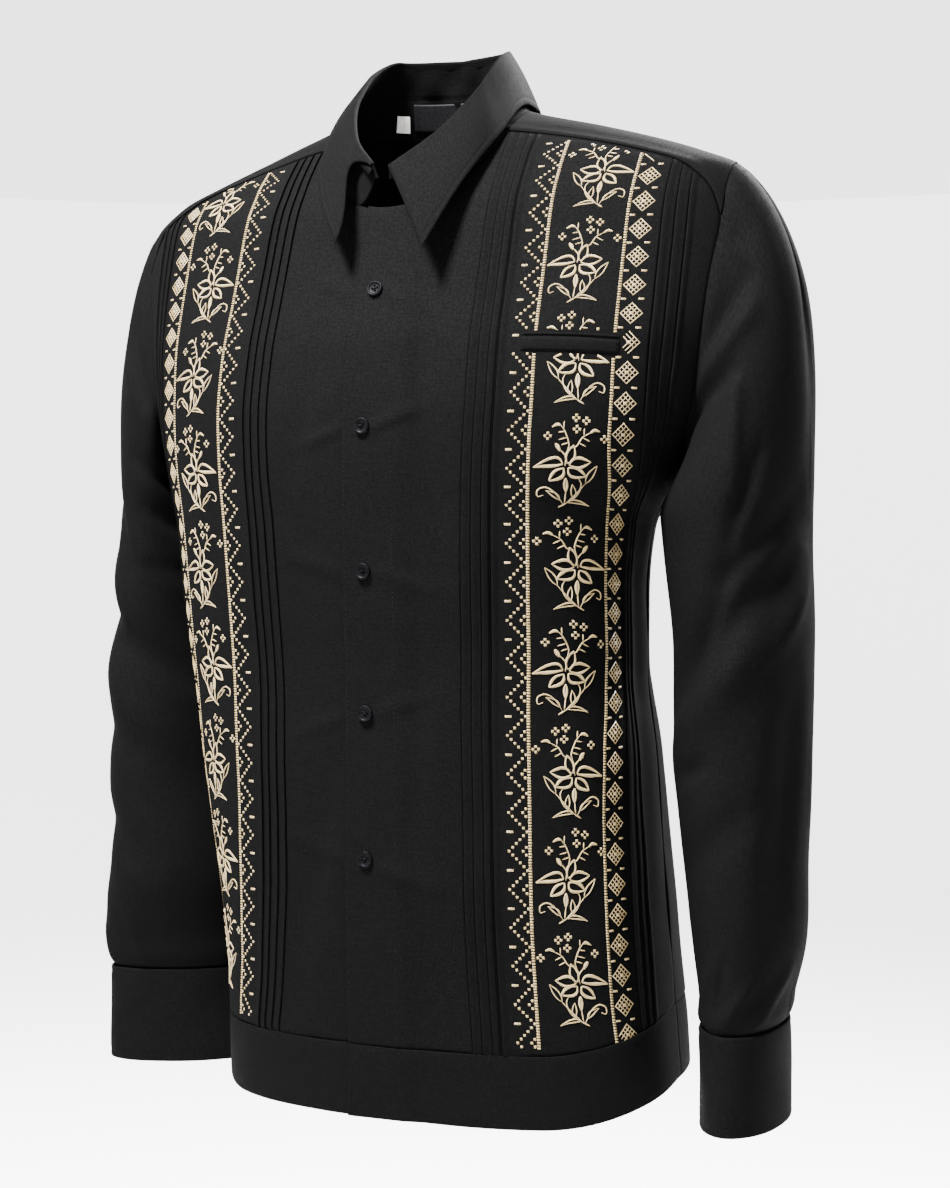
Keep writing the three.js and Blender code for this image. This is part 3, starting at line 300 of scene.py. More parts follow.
def half_sections():
    """Plan points and running lengths of the level sections of both halves:
    x = a |sin t|^(2/n) and y = -f or b times |cos t|^(2/n), t from front to back."""
    ahead = ARC <= math.pi / 2
    n = np.where(ahead, ROWS["nf"][:, None], ROWS["nb"][:, None])
    y = np.where(ahead, -ROWS["f"][:, None], ROWS["b"][:, None]) * np.abs(np.cos(ARC)) ** (2 / n)
    x = np.stack([ROWS[c][:, None] * np.abs(np.sin(ARC)) ** (2 / n) for c in ("left", "right")])
    y = np.stack([y, y])
    run = np.zeros_like(x)
    run[..., 1:] = np.cumsum(np.hypot(np.diff(x), np.diff(y)), axis=-1)
    return x, y, run


HALF_X, HALF_Y, RUN = half_sections()
KEYS = (np.arange(2 * len(LEVELS))[:, None] * ROW_GAP + RUN.reshape(-1, len(ARC))).ravel()


def at_level(half, k, w):
    """Plan point of a half at level number k and running length w."""
    row = half * len(LEVELS) + k
    i = np.searchsorted(KEYS, row * ROW_GAP + w, side="right") - 1 - row * len(ARC)
    i = np.clip(i, 0, len(ARC) - 2)
    t = (w - RUN[half, k, i]) / (RUN[half, k, i + 1] - RUN[half, k, i])
    return (mix(HALF_X[half, k, i], HALF_X[half, k, i + 1], t),
            mix(HALF_Y[half, k, i], HALF_Y[half, k, i + 1], t))


def on_torso(width, z):
    """Point of the form at a signed cloth width and a height, running on round the
    back past centre back."""
    width, z = np.broadcast_arrays(np.asarray(width, float), np.asarray(z, float))
    half = (width < 0).astype(int)
    w = np.abs(width)
    level = np.clip((z - LEVELS[0]) / LEVEL_STEP, 0, len(LEVELS) - 1.001)
    k = level.astype(int)
    t = level - k
    this, other = (mix(RUN[h, k, -1], RUN[h, k + 1, -1], t) for h in (half, 1 - half))
    past = w > this
    w = np.where(past, this + other - w, w)
    half = np.where(past, 1 - half, half)
    x0, y0 = at_level(half, k, w)
    x1, y1 = at_level(half, k + 1, w)
    return np.stack([(1 - 2 * half) * mix(x0, x1, t), mix(y0, y1, t), z], axis=-1)


def torso_normal(width, z, e=1.2):
    """Cross product of the steps along the width and up the height."""
    along = on_torso(width + e, z) - on_torso(width - e, z)
    rise = on_torso(width, z + e) - on_torso(width, z - e)
    return unit(np.cross(along, rise))


def half_length(z, side):
    """Running length of a half section from centre front to centre back."""
    return np.interp(z, LEVELS, RUN[HALF[side], :, -1])


def back_length(w, z):
    """The same for the half that each signed cloth width lies on."""
    return by_side(w, {side: half_length(z, side) for side in (1, -1)})


def quarter_length(z, side):
    """Running length of a half section from centre front to its side."""
    return np.interp(z, LEVELS, RUN[HALF[side], :, len(ARC) // 2])


QUARTER = {side: float(quarter_length(PIT_Z, side)) for side in (1, -1)}


def width_at(x, z, back, side):
    """Cloth width where the form's half width reaches x."""
    x, z, back = np.broadcast_arrays(x, z, back)
    middle = quarter_length(z, side)
    short = lambda w: (np.abs(on_torso(side * w, z)[..., 0]) < x) != back
    return halve(np.where(back, middle, 0.0), np.where(back, half_length(z, side), middle), short)


def armhole_point(angle, side):
    """Width, height, point and normal of the armhole at an angle, 0 at the shoulder
    tip and half a turn at the armpit, the height falling as its cosine."""
    angle = np.asarray(angle, float)
    z = mix(TIP[side], PIT_Z, (1 - np.cos(angle)) / 2)
    back = np.sin(angle) < 0
    x = np.where(back, read(ARMHOLE, "z", "back", z), read(ARMHOLE, "z", "front", z))
    if side < 0:
        low = ease(2 * (TIP[-1] - z) / (TIP[-1] - PIT_Z) - 1)
        x = x + mix(-RIGHT_TIP_IN, RIGHT_PIT_OUT, low ** 3)
    x = np.minimum(x, np.interp(z, LEVELS, ROWS["left" if side > 0 else "right"]))
    width = width_at(x, z, back, side)
    return width, z, on_torso(side * width, z), torso_normal(side * width, z)


def shoulder_height(x, y):
    """Height at which the plan point (x, y) lies on the form's section."""
    x, y = np.broadcast_arrays(np.asarray(x, float), np.asarray(y, float))

    def inside(z):
        row = {c: np.interp(z, LEVELS, ROWS[c]) for c in ROWS}
        n = np.where(y < 0, row["nf"], row["nb"])
        across = np.abs(x) / np.where(x < 0, row["right"], row["left"])
        return across ** n + (np.abs(y) / np.where(y < 0, row["f"], row["b"])) ** n <= 1

    return halve(np.full(x.shape, BACK_SEAM_Z - 3.0), np.full(x.shape, 7.9), inside)


def shoulder_normal(x, y, e=0.8):
    """Normal of the height field of the shoulders."""
    dx = (shoulder_height(x + e, y) - shoulder_height(x - e, y)) / (2 * e)
    dy = (shoulder_height(x, y + e) - shoulder_height(x, y - e)) / (2 * e)
    return unit(np.stack([-dx, -dy, np.ones_like(dx)], axis=-1))


def neck_front_z(x):
    """Front neckline: an ellipse below the shoulder level."""
    r = np.clip(np.abs(x) / NECK_HALF, 0, 1)
    return -NECK_DROP * np.sqrt(1 - r * r)


def hem_z(width):
    """Height of the hem: level in front, rising to the sides and falling to the back."""
    width = np.asarray(width, float)
    w, q, low = np.abs(width), by_side(width, QUARTER), by_side(width, HEM_SIDE)
    ahead = mix(HEM_FRONT, low, ease((w - HEM_FLAT) / (q - HEM_FLAT)))
    return np.where(w < q, ahead, mix(low, HEM_BACK, ease((w - q) / HEM_BACK_RUN)))


def seam_z(width):
    """Height of the seam above the hem band."""
    return hem_z(width) + HEM_BAND


def front_top_z(width):
    """Top of a front at a cloth width: the neckline, then the yoke seam."""
    width = np.asarray(width, float)

    def below(z):
        p = on_torso(width, z)
        in_neck = (np.abs(p[..., 0]) < NECK_HALF) & (z > neck_front_z(p[..., 0]))
        return ~(in_neck | (p[..., 1] > FRONT_SEAM_Y))

    return halve(np.full(width.shape, -118.0), np.full(width.shape, -4.0), below)


def front_end_angle(side):
    """Armhole angle where the yoke's front seam meets it."""
    behind = lambda angle: armhole_point(np.array([angle]), side)[2][0, 1] > FRONT_SEAM_Y
    return float(halve(0.05, 1.8, behind, 24))


ARM_FRONT = {side: front_end_angle(side) for side in (1, -1)}
ARM_BACK = {side: -math.acos(1 - 2 * (BACK_SEAM_Z - TIP[side]) / (PIT_Z - TIP[side]))
            for side in (1, -1)}


def lap_lift(width, side):
    """How far the left front stands out over the right along the closing: in full up to
    22 mm from its middle and not at all from 42 mm."""
    width = np.asarray(width)
    return LAP_LIFT * (1 - ease((width - 22) / 20)) if side > 0 else 0 * width


def creases(table, w, z):
    """Sum of soft folds: each is minus its depth times exp(-(d / width)^2), d the
    distance to its line, with a width that leans to one side."""
    out = np.zeros(np.broadcast(w, z).shape)
    for k in range(len(table["w"])):
        a = np.array([table["w"][k], table["z"][k]])
        b = np.array([table["to_w"][k], table["to_z"][k]])
        length = np.linalg.norm(b - a)
        e = (b - a) / length
        run = (w - a[0]) * e[0] + (z - a[1]) * e[1]
        off = (w - a[0]) * -e[1] + (z - a[1]) * e[0]
        past = run - np.clip(run, 0, length)
        width = table["width"][k] * (1 + table["lean"][k] * np.tanh(off / table["width"][k]))
        soft = 0.55 + 0.45 * np.sin(math.pi * np.clip(run / length, 0, 1))
        out -= table["depth"][k] * soft * bell(np.hypot(off, past), width)
    return out


# height of the slow waves along the hem band
BAND_DRIFT = 0.3


def drift(w, z, height=0.22):
    """Slow unevenness of worn cloth: three crossing waves of unlike length."""
    return height * (np.sin(w / 13.1 + z / 31.7) + np.sin(w / 21.3 - z / 17.9 + 1.3)
                     + 0.6 * np.sin(z / 11.7 + 0.6 * np.sin(w / 9.0)))


def sway(side, w, z):
    """Cloth width moved by how the tucked and embroidered part hangs: not at all along
    the closing and at the armhole."""
    inner, outer = (read(BAND_SWAY[side], "z", name, z) for name in ("inner", "outer"))
    share = ease((w - 45) / 30) * (1 - ease((w - 186) / 28))
    return w + share * mix(inner, outer, np.clip((w - 120) / 54, 0, 1.3))


def round_back(w, z):
    """Cloth width counted on past centre back, so that both halves agree there."""
    return np.where(w < 0, half_length(z, 1) + half_length(z, -1) + w, w)


def front_relief(side, w, z):
    """Folds of one front, given the unsigned cloth width."""
    return creases(FRONT_CREASES[side], w, z) + drift(w, z + 40 * side)


def on_front(side, w, z, rise):
    """Point a rise above the outer face of one front, w the unsigned cloth width
    (below 0 across centre front)."""
    lift = lap_lift(w, side) + WALL + front_relief(side, w, z) + rise
    return on_torso(side * w, z) + torso_normal(side * w, z) * lift[..., None]


# ---------- meshes ----------
def collection_link(obj):
    """Link an object to the scene."""
    bpy.context.scene.collection.objects.link(obj)
    return obj


def put(name, points, faces, material, uv=None, flat=None):
    """Mesh object from points in mm and faces of 3 or 4 corners (-1 fills a triangle),
    wound outwards by the sign of its volume."""
    faces = np.asarray(faces)
    tri = faces[:, 3] < 0
    p = points[faces[:, 0]]
    q, r = points[faces[:, 1]], points[faces[:, 2]]
    s = points[np.where(tri, faces[:, 2], faces[:, 3])]
    volume = np.einsum("ij,ij->i", p, np.cross(q, r)) + np.einsum("ij,ij->i", p, np.cross(r, s))
    if volume.sum() < 0:
        faces = np.where(tri[:, None], faces[:, [2, 1, 0, 3]], faces[:, ::-1])
    sizes = np.where(tri, 3, 4)
    starts = np.concatenate([[0], np.cumsum(sizes)[:-1]])
    corners = faces.ravel()
    corners = corners[corners >= 0]
    mesh = bpy.data.meshes.new(name)
    mesh.vertices.add(len(points))
    mesh.vertices.foreach_set("co", (points * MM).ravel())
    mesh.loops.add(len(corners))
    mesh.loops.foreach_set("vertex_index", corners)
    mesh.polygons.add(len(faces))
    mesh.polygons.foreach_set("loop_start", starts)
    smooth = np.ones(len(faces), bool) if flat is None else ~flat
    mesh.polygons.foreach_set("use_smooth", smooth)
    if uv is not None:
        layer = mesh.uv_layers.new(name="cloth")
        layer.data.foreach_set("uv", (uv[corners] * MM).ravel())
    mesh.update(calc_edges=True)
    mesh.validate()
    mesh.materials.append(material)
    return collection_link(bpy.data.objects.new(name, mesh))


def grid_faces(rows, cols, shift, closed):
    """Quads of a grid of points numbered row by row from shift."""
    r, c = np.meshgrid(np.arange(rows - 1), np.arange(cols if closed else cols - 1), indexing="ij")
    d = (c + 1) % cols
    at = lambda i, j: (shift + i * cols + j).ravel()
    return np.stack([at(r, c), at(r, d), at(r + 1, d), at(r + 1, c)], axis=1)


def shell(name, outer, inner, material, uv=None, closed=False):
    """Closed shell between an outer and an inner grid of points, with narrow flat
    walls along the open edges."""
    rows, cols = outer.shape[:2]
    points = np.concatenate([outer.reshape(-1, 3), inner.reshape(-1, 3)])
    n = rows * cols
    face = [grid_faces(rows, cols, 0, closed), grid_faces(rows, cols, n, closed)[:, ::-1]]
    c = np.arange(cols if closed else cols - 1)
    d = (c + 1) % cols
    top = (rows - 1) * cols
    walls = [np.stack([d, c, n + c, n + d], axis=1),
             np.stack([top + c, top + d, n + top + d, n + top + c], axis=1)]
    if not closed:
        r = np.arange(rows - 1) * cols
        e = r + cols - 1
        walls += [np.stack([r, r + cols, n + r + cols, n + r], axis=1),
                  np.stack([e + cols, e, n + e, n + e + cols], axis=1)]
    count = sum(len(w) for w in walls)
    faces = np.concatenate(face + walls)
    flat = np.zeros(len(faces), bool)
    flat[-count:] = True
    if uv is None:
        uv = run_lengths(outer, closed)
    return put(name, points, faces, material, np.concatenate([uv.reshape(-1, 2)] * 2), flat)


def run_lengths(grid, closed=False):
    """Two running lengths of a grid, across its middle row and down its columns."""
    across = np.linalg.norm(np.diff(grid, axis=1), axis=-1)
    down = np.linalg.norm(np.diff(grid, axis=0), axis=-1)
    u = np.zeros(grid.shape[:2])
    v = np.zeros(grid.shape[:2])
    u[:, 1:] = np.cumsum(across, axis=1).mean(axis=0)
    v[1:] = np.cumsum(down, axis=0).mean(axis=1)[:, None]
    return np.stack([u, v], axis=-1)


def spread(points, closed_cols=False):
    """Outward normals of a grid of points from its neighbours across and down."""
    if closed_cols:
        across = np.roll(points, -1, axis=1) - np.roll(points, 1, axis=1)
    else:
        across = np.gradient(points, axis=1)
    n = unit(np.cross(across, np.gradient(points, axis=0)))
    centre = points.mean(axis=1, keepdims=True)
    sign = np.sign(np.sum(n * (points - centre), axis=-1, keepdims=True))
    return n * np.where(sign == 0, 1, sign)


def dress(obj, slot, *nodes):
    """Ride on the shirt's one body and stand for the nodes; slot is not used."""
    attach(obj, "root")
    if nodes:
        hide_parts(*nodes)
    return obj


def declare(obj):
    """Hand back a piece of cloth unchanged."""
    return obj


def cloth_piece(node, outer, inner, uv=None, closed=False):
    """Thin cloth shell that stands for a node of the solids."""
    obj = shell(node + "_cloth", outer, inner, cloth_material(), uv, closed)
    return declare(dress(obj, "cloth", node))


# ---------- materials ----------
def add(tree, kind, inputs=(), **settings):
    """A node with its settings, its inputs given as values or as sockets to link."""
    node = tree.nodes.new(kind)
    for key, value in settings.items():
        setattr(node, key, value)
    for key, value in dict(inputs).items():
        if isinstance(value, bpy.types.NodeSocket):
            tree.links.new(value, node.inputs[key])
        else:
            node.inputs[key].default_value = value
    return node


def maths(tree, operation, *values):
    """The output of a Math node."""
    return add(tree, "ShaderNodeMath", dict(enumerate(values)), operation=operation).outputs[0]


def new_group(name, vectors, floats, outputs):
    """An empty node group with named vector inputs, float inputs with their defaults
    and float outputs, and its input and output node."""
    group = bpy.data.node_groups.new(name, "ShaderNodeTree")
    face = group.interface
    for socket in vectors:
        face.new_socket(socket, in_out="INPUT", socket_type="NodeSocketVector")
    for socket, value in floats.items():
        face.new_socket(socket, in_out="INPUT", socket_type="NodeSocketFloat").default_value = value
    for socket in outputs:
        face.new_socket(socket, in_out="OUTPUT", socket_type="NodeSocketFloat")
    return group, add(group, "NodeGroupInput"), add(group, "NodeGroupOutput")


def weave_group():
    """Plain weave: threads both ways with slubs along them. Height is the sum of two
    stretched noises and a fine checked ripple, Slub the coarser noise alone."""
    group = bpy.data.node_groups.get("plain_weave")
    if group:
        return group
    group, into, outof = new_group("plain_weave", ["Vector"], {"Threads per Metre": 1700},
                                   ["Height", "Slub"])
    vector, threads = into.outputs["Vector"], into.outputs["Threads per Metre"]
    split = add(group, "ShaderNodeSeparateXYZ", {0: vector})
    noises = []
    for stretch in ((1.0, 0.09, 1.0), (0.09, 1.0, 1.0)):
        scaled = add(group, "ShaderNodeVectorMath", {0: vector, 1: stretch}, operation="MULTIPLY")
        noise = add(group, "ShaderNodeTexNoise",
                    {"Vector": scaled.outputs[0], "Scale": 900.0, "Detail": 3.0, "Roughness": 0.6})
        noises.append(noise.outputs[0])
    turn = maths(group, "MULTIPLY", threads, math.pi)
    ripple = maths(group, "MULTIPLY",
                   maths(group, "SINE", maths(group, "MULTIPLY", split.outputs[0], turn)),
                   maths(group, "SINE", maths(group, "MULTIPLY", split.outputs[1], turn)))
    both = maths(group, "ADD", noises[0], noises[1])
    height = maths(group, "ADD", both, maths(group, "MULTIPLY", ripple, 0.3))
    group.links.new(height, outof.inputs["Height"])
    coarse = add(group, "ShaderNodeTexNoise", {"Vector": vector, "Scale": 520.0, "Detail": 3.0})
    group.links.new(maths(group, "MULTIPLY", both, coarse.outputs[0]), outof.inputs["Slub"])
    return group


def strand_group():
    """Lie of the strands in a stitch: a ripple along the stitch with uneven strands.
    Height is the ripple, Shade a slow change from stitch to stitch."""
    group = bpy.data.node_groups.get("strand_lie")
    if group:
        return group
    group, into, outof = new_group("strand_lie", ["Vector", "Place"], {"Pitch": 0.00042},
                                   ["Height", "Shade"])
    split = add(group, "ShaderNodeSeparateXYZ", {0: into.outputs["Vector"]})
    slant = maths(group, "ADD", split.outputs[1], maths(group, "MULTIPLY", split.outputs[0], 0.35))
    phase = maths(group, "DIVIDE", slant, into.outputs["Pitch"])
    wave = maths(group, "ABSOLUTE", maths(group, "SINE", maths(group, "MULTIPLY", phase, math.pi)))
    group.links.new(wave, outof.inputs["Height"])
    noise = add(group, "ShaderNodeTexNoise",
                {"Vector": into.outputs["Place"], "Scale": 160.0, "Detail": 2.0})
    group.links.new(noise.outputs[0], outof.inputs["Shade"])
    return group


def new_material(name):
    """An empty node material with its Principled shader linked to the output."""
    material = bpy.data.materials.get(name)
    if material:
        return material, None, None
    material = bpy.data.materials.new(name)
    material.use_nodes = True
    tree = material.node_tree
    tree.nodes.clear()
    shader = add(tree, "ShaderNodeBsdfPrincipled")
    out = add(tree, "ShaderNodeOutputMaterial")
    tree.links.new(shader.outputs[0], out.inputs[0])
    return material, tree, shader


def ranged(tree, value, low, high, to_low=0.0, to_high=1.0):
    """A value carried from one range to another and held at its ends."""
    return add(tree, "ShaderNodeMapRange", {0: value, 1: low, 2: high, 3: to_low, 4: to_high}).outputs[0]


def colour_between(tree, shader, mask, low, high, first, second):
    """Base colour from a first to a second colour as a mask goes from low to high."""
    share = ranged(tree, mask, low, high)
    blend = add(tree, "ShaderNodeMix", {0: share, 6: (*first, 1), 7: (*second, 1)}, data_type="RGBA")
    tree.links.new(blend.outputs[2], shader.inputs["Base Color"])


def fine_relief(tree, shader, height, strength, distance):
    """Fine relief of a finish, in metres."""
    bump = add(tree, "ShaderNodeBump", {"Height": height, "Strength": strength, "Distance": distance})
    tree.links.new(bump.outputs[0], shader.inputs["Normal"])


# how much lighter the palest threads of the linen are than its darkest
LIGHT_THREADS = 1.45


def cloth_material():
    """Matt black linen-look plain weave."""
    looks = bpy.context.scene.guayabera
    material, tree, shader = new_material("black_linen")
    if tree is None:
        return material
    uv = add(tree, "ShaderNodeUVMap", uv_map="cloth").outputs[0]
    weave = add(tree, "ShaderNodeGroup", {"Vector": uv}, node_tree=weave_group())
    slub = weave.outputs["Slub"]
    dark = tuple(looks.cloth_colour)
    light = tuple(LIGHT_THREADS * c for c in dark)
    colour_between(tree, shader, slub, 0.35, 0.65, dark, light)
    tree.links.new(ranged(tree, slub, 0.3, 0.7, 0.88, 0.74), shader.inputs["Roughness"])
    fine_relief(tree, shader, weave.outputs["Height"], 0.5, 0.00025)
    shader.inputs["Specular IOR Level"].default_value = 0.008
    return material


def thread_material(name, first, second, roughness, shine=0.5):
    """Stitched thread: strands rippling along each stitch, two close colours, the tone changing at random
    from stitch to stitch and darker in the grooves between strands as painted shade.
    """
    material, tree, shader = new_material(name)
    if tree is None:
        return material
    uv = add(tree, "ShaderNodeUVMap", uv_map="cloth").outputs[0]
    place = add(tree, "ShaderNodeTexCoord").outputs["Object"]
    strand = add(tree, "ShaderNodeGroup", {"Vector": uv, "Place": place}, node_tree=strand_group())
    height = strand.outputs["Height"]
    # colour mask: random tone from stitch to stitch times the strand ripple, which paints shade into the
    # grooves between strands
    tone_and_painted_groove_shade = maths(tree, "MULTIPLY", strand.outputs["Shade"],
                  maths(tree, "ADD", maths(tree, "MULTIPLY", height, 0.5), 0.6))
    colour_between(tree, shader, tone_and_painted_groove_shade, 0.25, 0.6, first, second)
    fine_relief(tree, shader, height, 0.6, 0.0002)
    tree.links.new(ranged(tree, height, 0.0, 1.0, roughness + 0.15, roughness), shader.inputs["Roughness"])
    shader.inputs["Specular IOR Level"].default_value = shine
    return material


def button_material():
    """Glossy black button resin with faint cloudiness and fine handling marks."""
    material, tree, shader = new_material("black_button")
    if tree is None:
        return material
    place = add(tree, "ShaderNodeTexCoord").outputs["Object"]
    cloud = add(tree, "ShaderNodeTexNoise", {"Vector": place, "Scale": 260.0, "Detail": 3.0}).outputs[0]
    colour_between(tree, shader, cloud, 0.3, 0.7, (0.0006, 0.0006, 0.0007), (0.0015, 0.0015, 0.0018))
    marks = add(tree, "ShaderNodeTexNoise", {"Vector": place, "Scale": 1900.0, "Detail": 2.0}).outputs[0]
    tree.links.new(ranged(tree, marks, 0.3, 0.7, 0.34, 0.46), shader.inputs["Roughness"])
    shader.inputs["Specular IOR Level"].default_value = 0.012
    return material


def tape_material(name, first, second, sheen):
    """Narrow woven tape: the same weave, finer, with a satin face."""
    material, tree, shader = new_material(name)
    if tree is None:
        return material
    uv = add(tree, "ShaderNodeUVMap", uv_map="cloth").outputs[0]
    weave = add(tree, "ShaderNodeGroup", {"Vector": uv, "Threads per Metre": 3200.0},
                node_tree=weave_group())
    colour_between(tree, shader, weave.outputs["Slub"], 0.3, 0.7, first, second)
    fine_relief(tree, shader, weave.outputs["Height"], 0.4, 0.00015)
    shader.inputs["Roughness"].default_value = 0.55
    shader.inputs["Specular IOR Level"].default_value = sheen
    return material


# ---------- fronts, back and yoke ----------
# one tuck across its stitch line: place of the outer and the inner face, and the rise
TUCK_SHAPE = columns(
    "out inner rise",
    (-1.6, -1.6, 0), (-0.55, -0.75, -0.05), (-0.3, -0.4, -0.5), (0.1, 0, -0.95),
    (0.45, 0.2, -0.7), (0.35, 0.4, 0.35), (0.2, 0.7, 0.95), (0.4, 1.0, 1.25),
    (1.1, 1.5, 1.3), (2.5, 2.7, 0.95), (3.9, 4.0, 0.45), (4.9, 4.9, 0.05))


# plain cloth before the first tuck of a set, and the width of a tuck with its shadow
TUCK_CLEAR, TUCK_WIDTH = 3.5, 6.5
# grid rows below the armpit, and grid columns from the last tuck to a front's outer edge
SIDE_ROWS, OUT_COLUMNS = 118, 16


def front_columns(edge):
    """Cloth widths of a front's outer and inner columns and how far each stands out:
    plain runs, and after each the shapes of its tucks, their lips over the stitch line."""
    closing = np.linspace(-edge + 2.4, INNER_TUCKS[0] - TUCK_CLEAR, 34)
    plain = (np.concatenate([[-edge, -edge + 0.8], closing]),
             np.linspace(INNER_TUCKS[-1] + TUCK_WIDTH, OUTER_TUCKS[0] - TUCK_CLEAR, 34),
             [LAST_TUCK - 0.4])
    out, inner, rise = [], [], []
    for k, tucks in enumerate((INNER_TUCKS, OUTER_TUCKS, ())):
        out.extend(plain[k])
        inner.extend(plain[k])
        rise.extend([0.0] * len(plain[k]))
        for place, start in enumerate(tucks):
            more = 0.25 * math.sin(3.1 * place + k)
            out.extend(start + TUCK_SHAPE["out"])
            inner.extend(start + TUCK_SHAPE["inner"])
            rise.extend(TUCK_SHAPE["rise"] * (1 + more * (TUCK_SHAPE["rise"] > 0)))
    return np.array(out), np.array(inner), np.array(rise)


def side_heights(side):
    """Heights of the grid rows below the armpit."""
    base = float(seam_z(side * QUARTER[side])) + SEAM
    return base, np.linspace(base, PIT_Z, SIDE_ROWS + 1)[:-1]


def front_rows(side):
    """Heights and widths of a front's outer edge: up the side seam, then round the
    armhole to the yoke."""
    base, lower = side_heights(side)
    width, z, _, _ = armhole_point(np.linspace(math.pi, ARM_FRONT[side], 74), side)
    return base, np.concatenate([lower, z]), np.concatenate([np.full(SIDE_ROWS, QUARTER[side]), width])


def front_grid(side, widths):
    """Width and height of each grid point: columns at fixed cloth widths between the
    hem-band seam and the top, both a little under their neighbours, then a blend out
    to the armhole and side edge."""
    base, end_z, end_w = front_rows(side)
    t = ((end_z - base) / (end_z[-1] - base))[:, None]
    free = lambda w: mix(seam_z(side * w) - TUCK_UNDER, front_top_z(side * w) + TUCK_UNDER, t)
    w = np.broadcast_to(widths[None], (len(end_z), len(widths)))
    share = np.linspace(0, 1, OUT_COLUMNS + 1)[None, 1:]
    last_w = end_w[:, None] + 0.4
    outer_w = mix(LAST_TUCK, last_w, share)
    grown = end_z[:, None] + TUCK_UNDER * (2 * t - 1)
    outer_z = free(outer_w) + (grown - free(last_w)) * share
    w, z = np.concatenate([w, outer_w], axis=1), np.concatenate([free(widths[None]), outer_z], axis=1)
    return sway(side, w, z), z


def pressed(share, near=2.2):
    """0 at a seam's edge rising to 1 a little way in, to press cloth flat there."""
    return ease(share / near)


def seam_dip(share, near=1.2, depth=0.5):
    """How far cloth sinks in over the last few millimetres before a seam."""
    return -depth * bell(share, near)


def pressed_rows(z):
    """0 at the first and last row of a grid of heights, 1 away from them."""
    return pressed(z[-1:] - z - 0.6) * pressed(z - z[:1] - 0.8)


def make_front(side):
    """One front: the form's surface lifted by its wall, tucks and folds, and an inner
    face just under it. The left front is thicker along its lap."""
    out, inner, rise = front_columns(EDGE[side])
    w, z = front_grid(side, out)
    wi, zi = front_grid(side, inner)
    rise = np.concatenate([rise, np.zeros(OUT_COLUMNS)])
    up = (z - z[:1]) / (z[-1:] - z[:1])
    steady = 1 - 0.25 * np.abs(np.sin(9 * up + 2 * side))
    flat = pressed_rows(z)
    out_edge = np.minimum(1, np.arange(w.shape[1])[::-1] / 2)[None]
    puff = (rise * steady + front_relief(side, w, z)) * flat
    lift = lap_lift(w, side) + PRESSED + (WALL - PRESSED) * flat * out_edge + puff
    points = on_torso(side * w, z) + torso_normal(side * w, z) * lift[..., None]
    over = (LAP_LIFT - 0.9) * (1 - ease((wi - 20) / 14)) if side > 0 else 0 * wi
    folds = front_relief(side, wi, zi)
    floor = over + INSIDE * (1 - (over > 0.1)) + folds + 0.1
    thick = np.minimum(floor, lap_lift(wi, side) + INSIDE + folds + 1.0)
    under = on_torso(side * wi, zi) + torso_normal(side * wi, zi) * thick[..., None]
    return cloth_piece(half_name("front", side), points, under, np.stack([w, z], axis=-1))


def make_back():
    """The back from side seam to side seam: rows follow the armholes at their ends
    and the yoke seam at the top."""
    shares = np.linspace(-1, 1, 131)
    widths, heights = [], []
    for side in (-1, 1):
        share = np.abs(shares[shares < 0] if side < 0 else shares[shares >= 0])[None]
        base, lower = side_heights(side)
        top = armhole_point(np.array([ARM_BACK[side]]), side)[1][0]
        width, z, _, _ = armhole_point(np.linspace(-math.pi, ARM_BACK[side], 60), side)
        end_z = np.concatenate([lower, z])[:, None]
        end_w = np.concatenate([np.full(SIDE_ROWS, QUARTER[side]), width])[:, None]
        t = (end_z - base) / (top - base)
        middle = float(seam_z(half_length(HEM_BACK, 1))) + SEAM
        height = mix(middle, BACK_SEAM_Z - SEAM, t)
        w = mix(half_length(height, side), end_w + SEAM, share)
        free = lambda at: mix(seam_z(side * at) - TUCK_UNDER, BACK_SEAM_Z + TUCK_UNDER, t)
        z = free(w) + (end_z + TUCK_UNDER * (2 * t - 1) - free(end_w)) * share
        widths.append(side * np.minimum(w, half_length(z, side)))
        heights.append(z)
    w, z = np.concatenate(widths, axis=1), np.concatenate(heights, axis=1)
    flat = pressed_rows(z)
    relief = (creases(BACK_CREASES, w, z) + drift(round_back(w, z), z)) * flat
    form, normal = on_torso(w, z), torso_normal(w, z)
    points = form + normal * (PRESSED + (WALL - PRESSED) * flat + relief)[..., None]
    return cloth_piece("back", points, form + normal * (INSIDE + relief)[..., None])


def front_y(x, z):
    """Depth of the form's front at a plan x and height, on the left half."""
    f, a, n = (np.interp(z, LEVELS, ROWS[c]) for c in ("f", "left", "nf"))
    return -f * (1 - (x / a) ** n) ** (1 / n)


# plan x where the neckline meets the yoke's front seam
NECK_X = float(halve(0.0, NECK_HALF, lambda x: front_y(x, neck_front_z(x)) < FRONT_SEAM_Y, 40))
# share of the yoke's outer edge, from its front seam to centre back, that lies on the armhole
YOKE_ARM = 6 / 14


def neck_plan(share):
    """Neckline in plan, 0 at the yoke's front seam and 1 at centre back: an ellipse
    whose depth changes from front to back."""
    start = math.atan2(FRONT_SEAM_Y / NECK_FRONT_PLAN, NECK_X / NECK_HALF)
    angle = mix(start, math.pi / 2, share)
    depth = np.where(angle < 0, -FRONT_SEAM_Y / math.sin(-start), NECK_BACK)
    return NECK_HALF * np.cos(angle), depth * np.sin(angle)


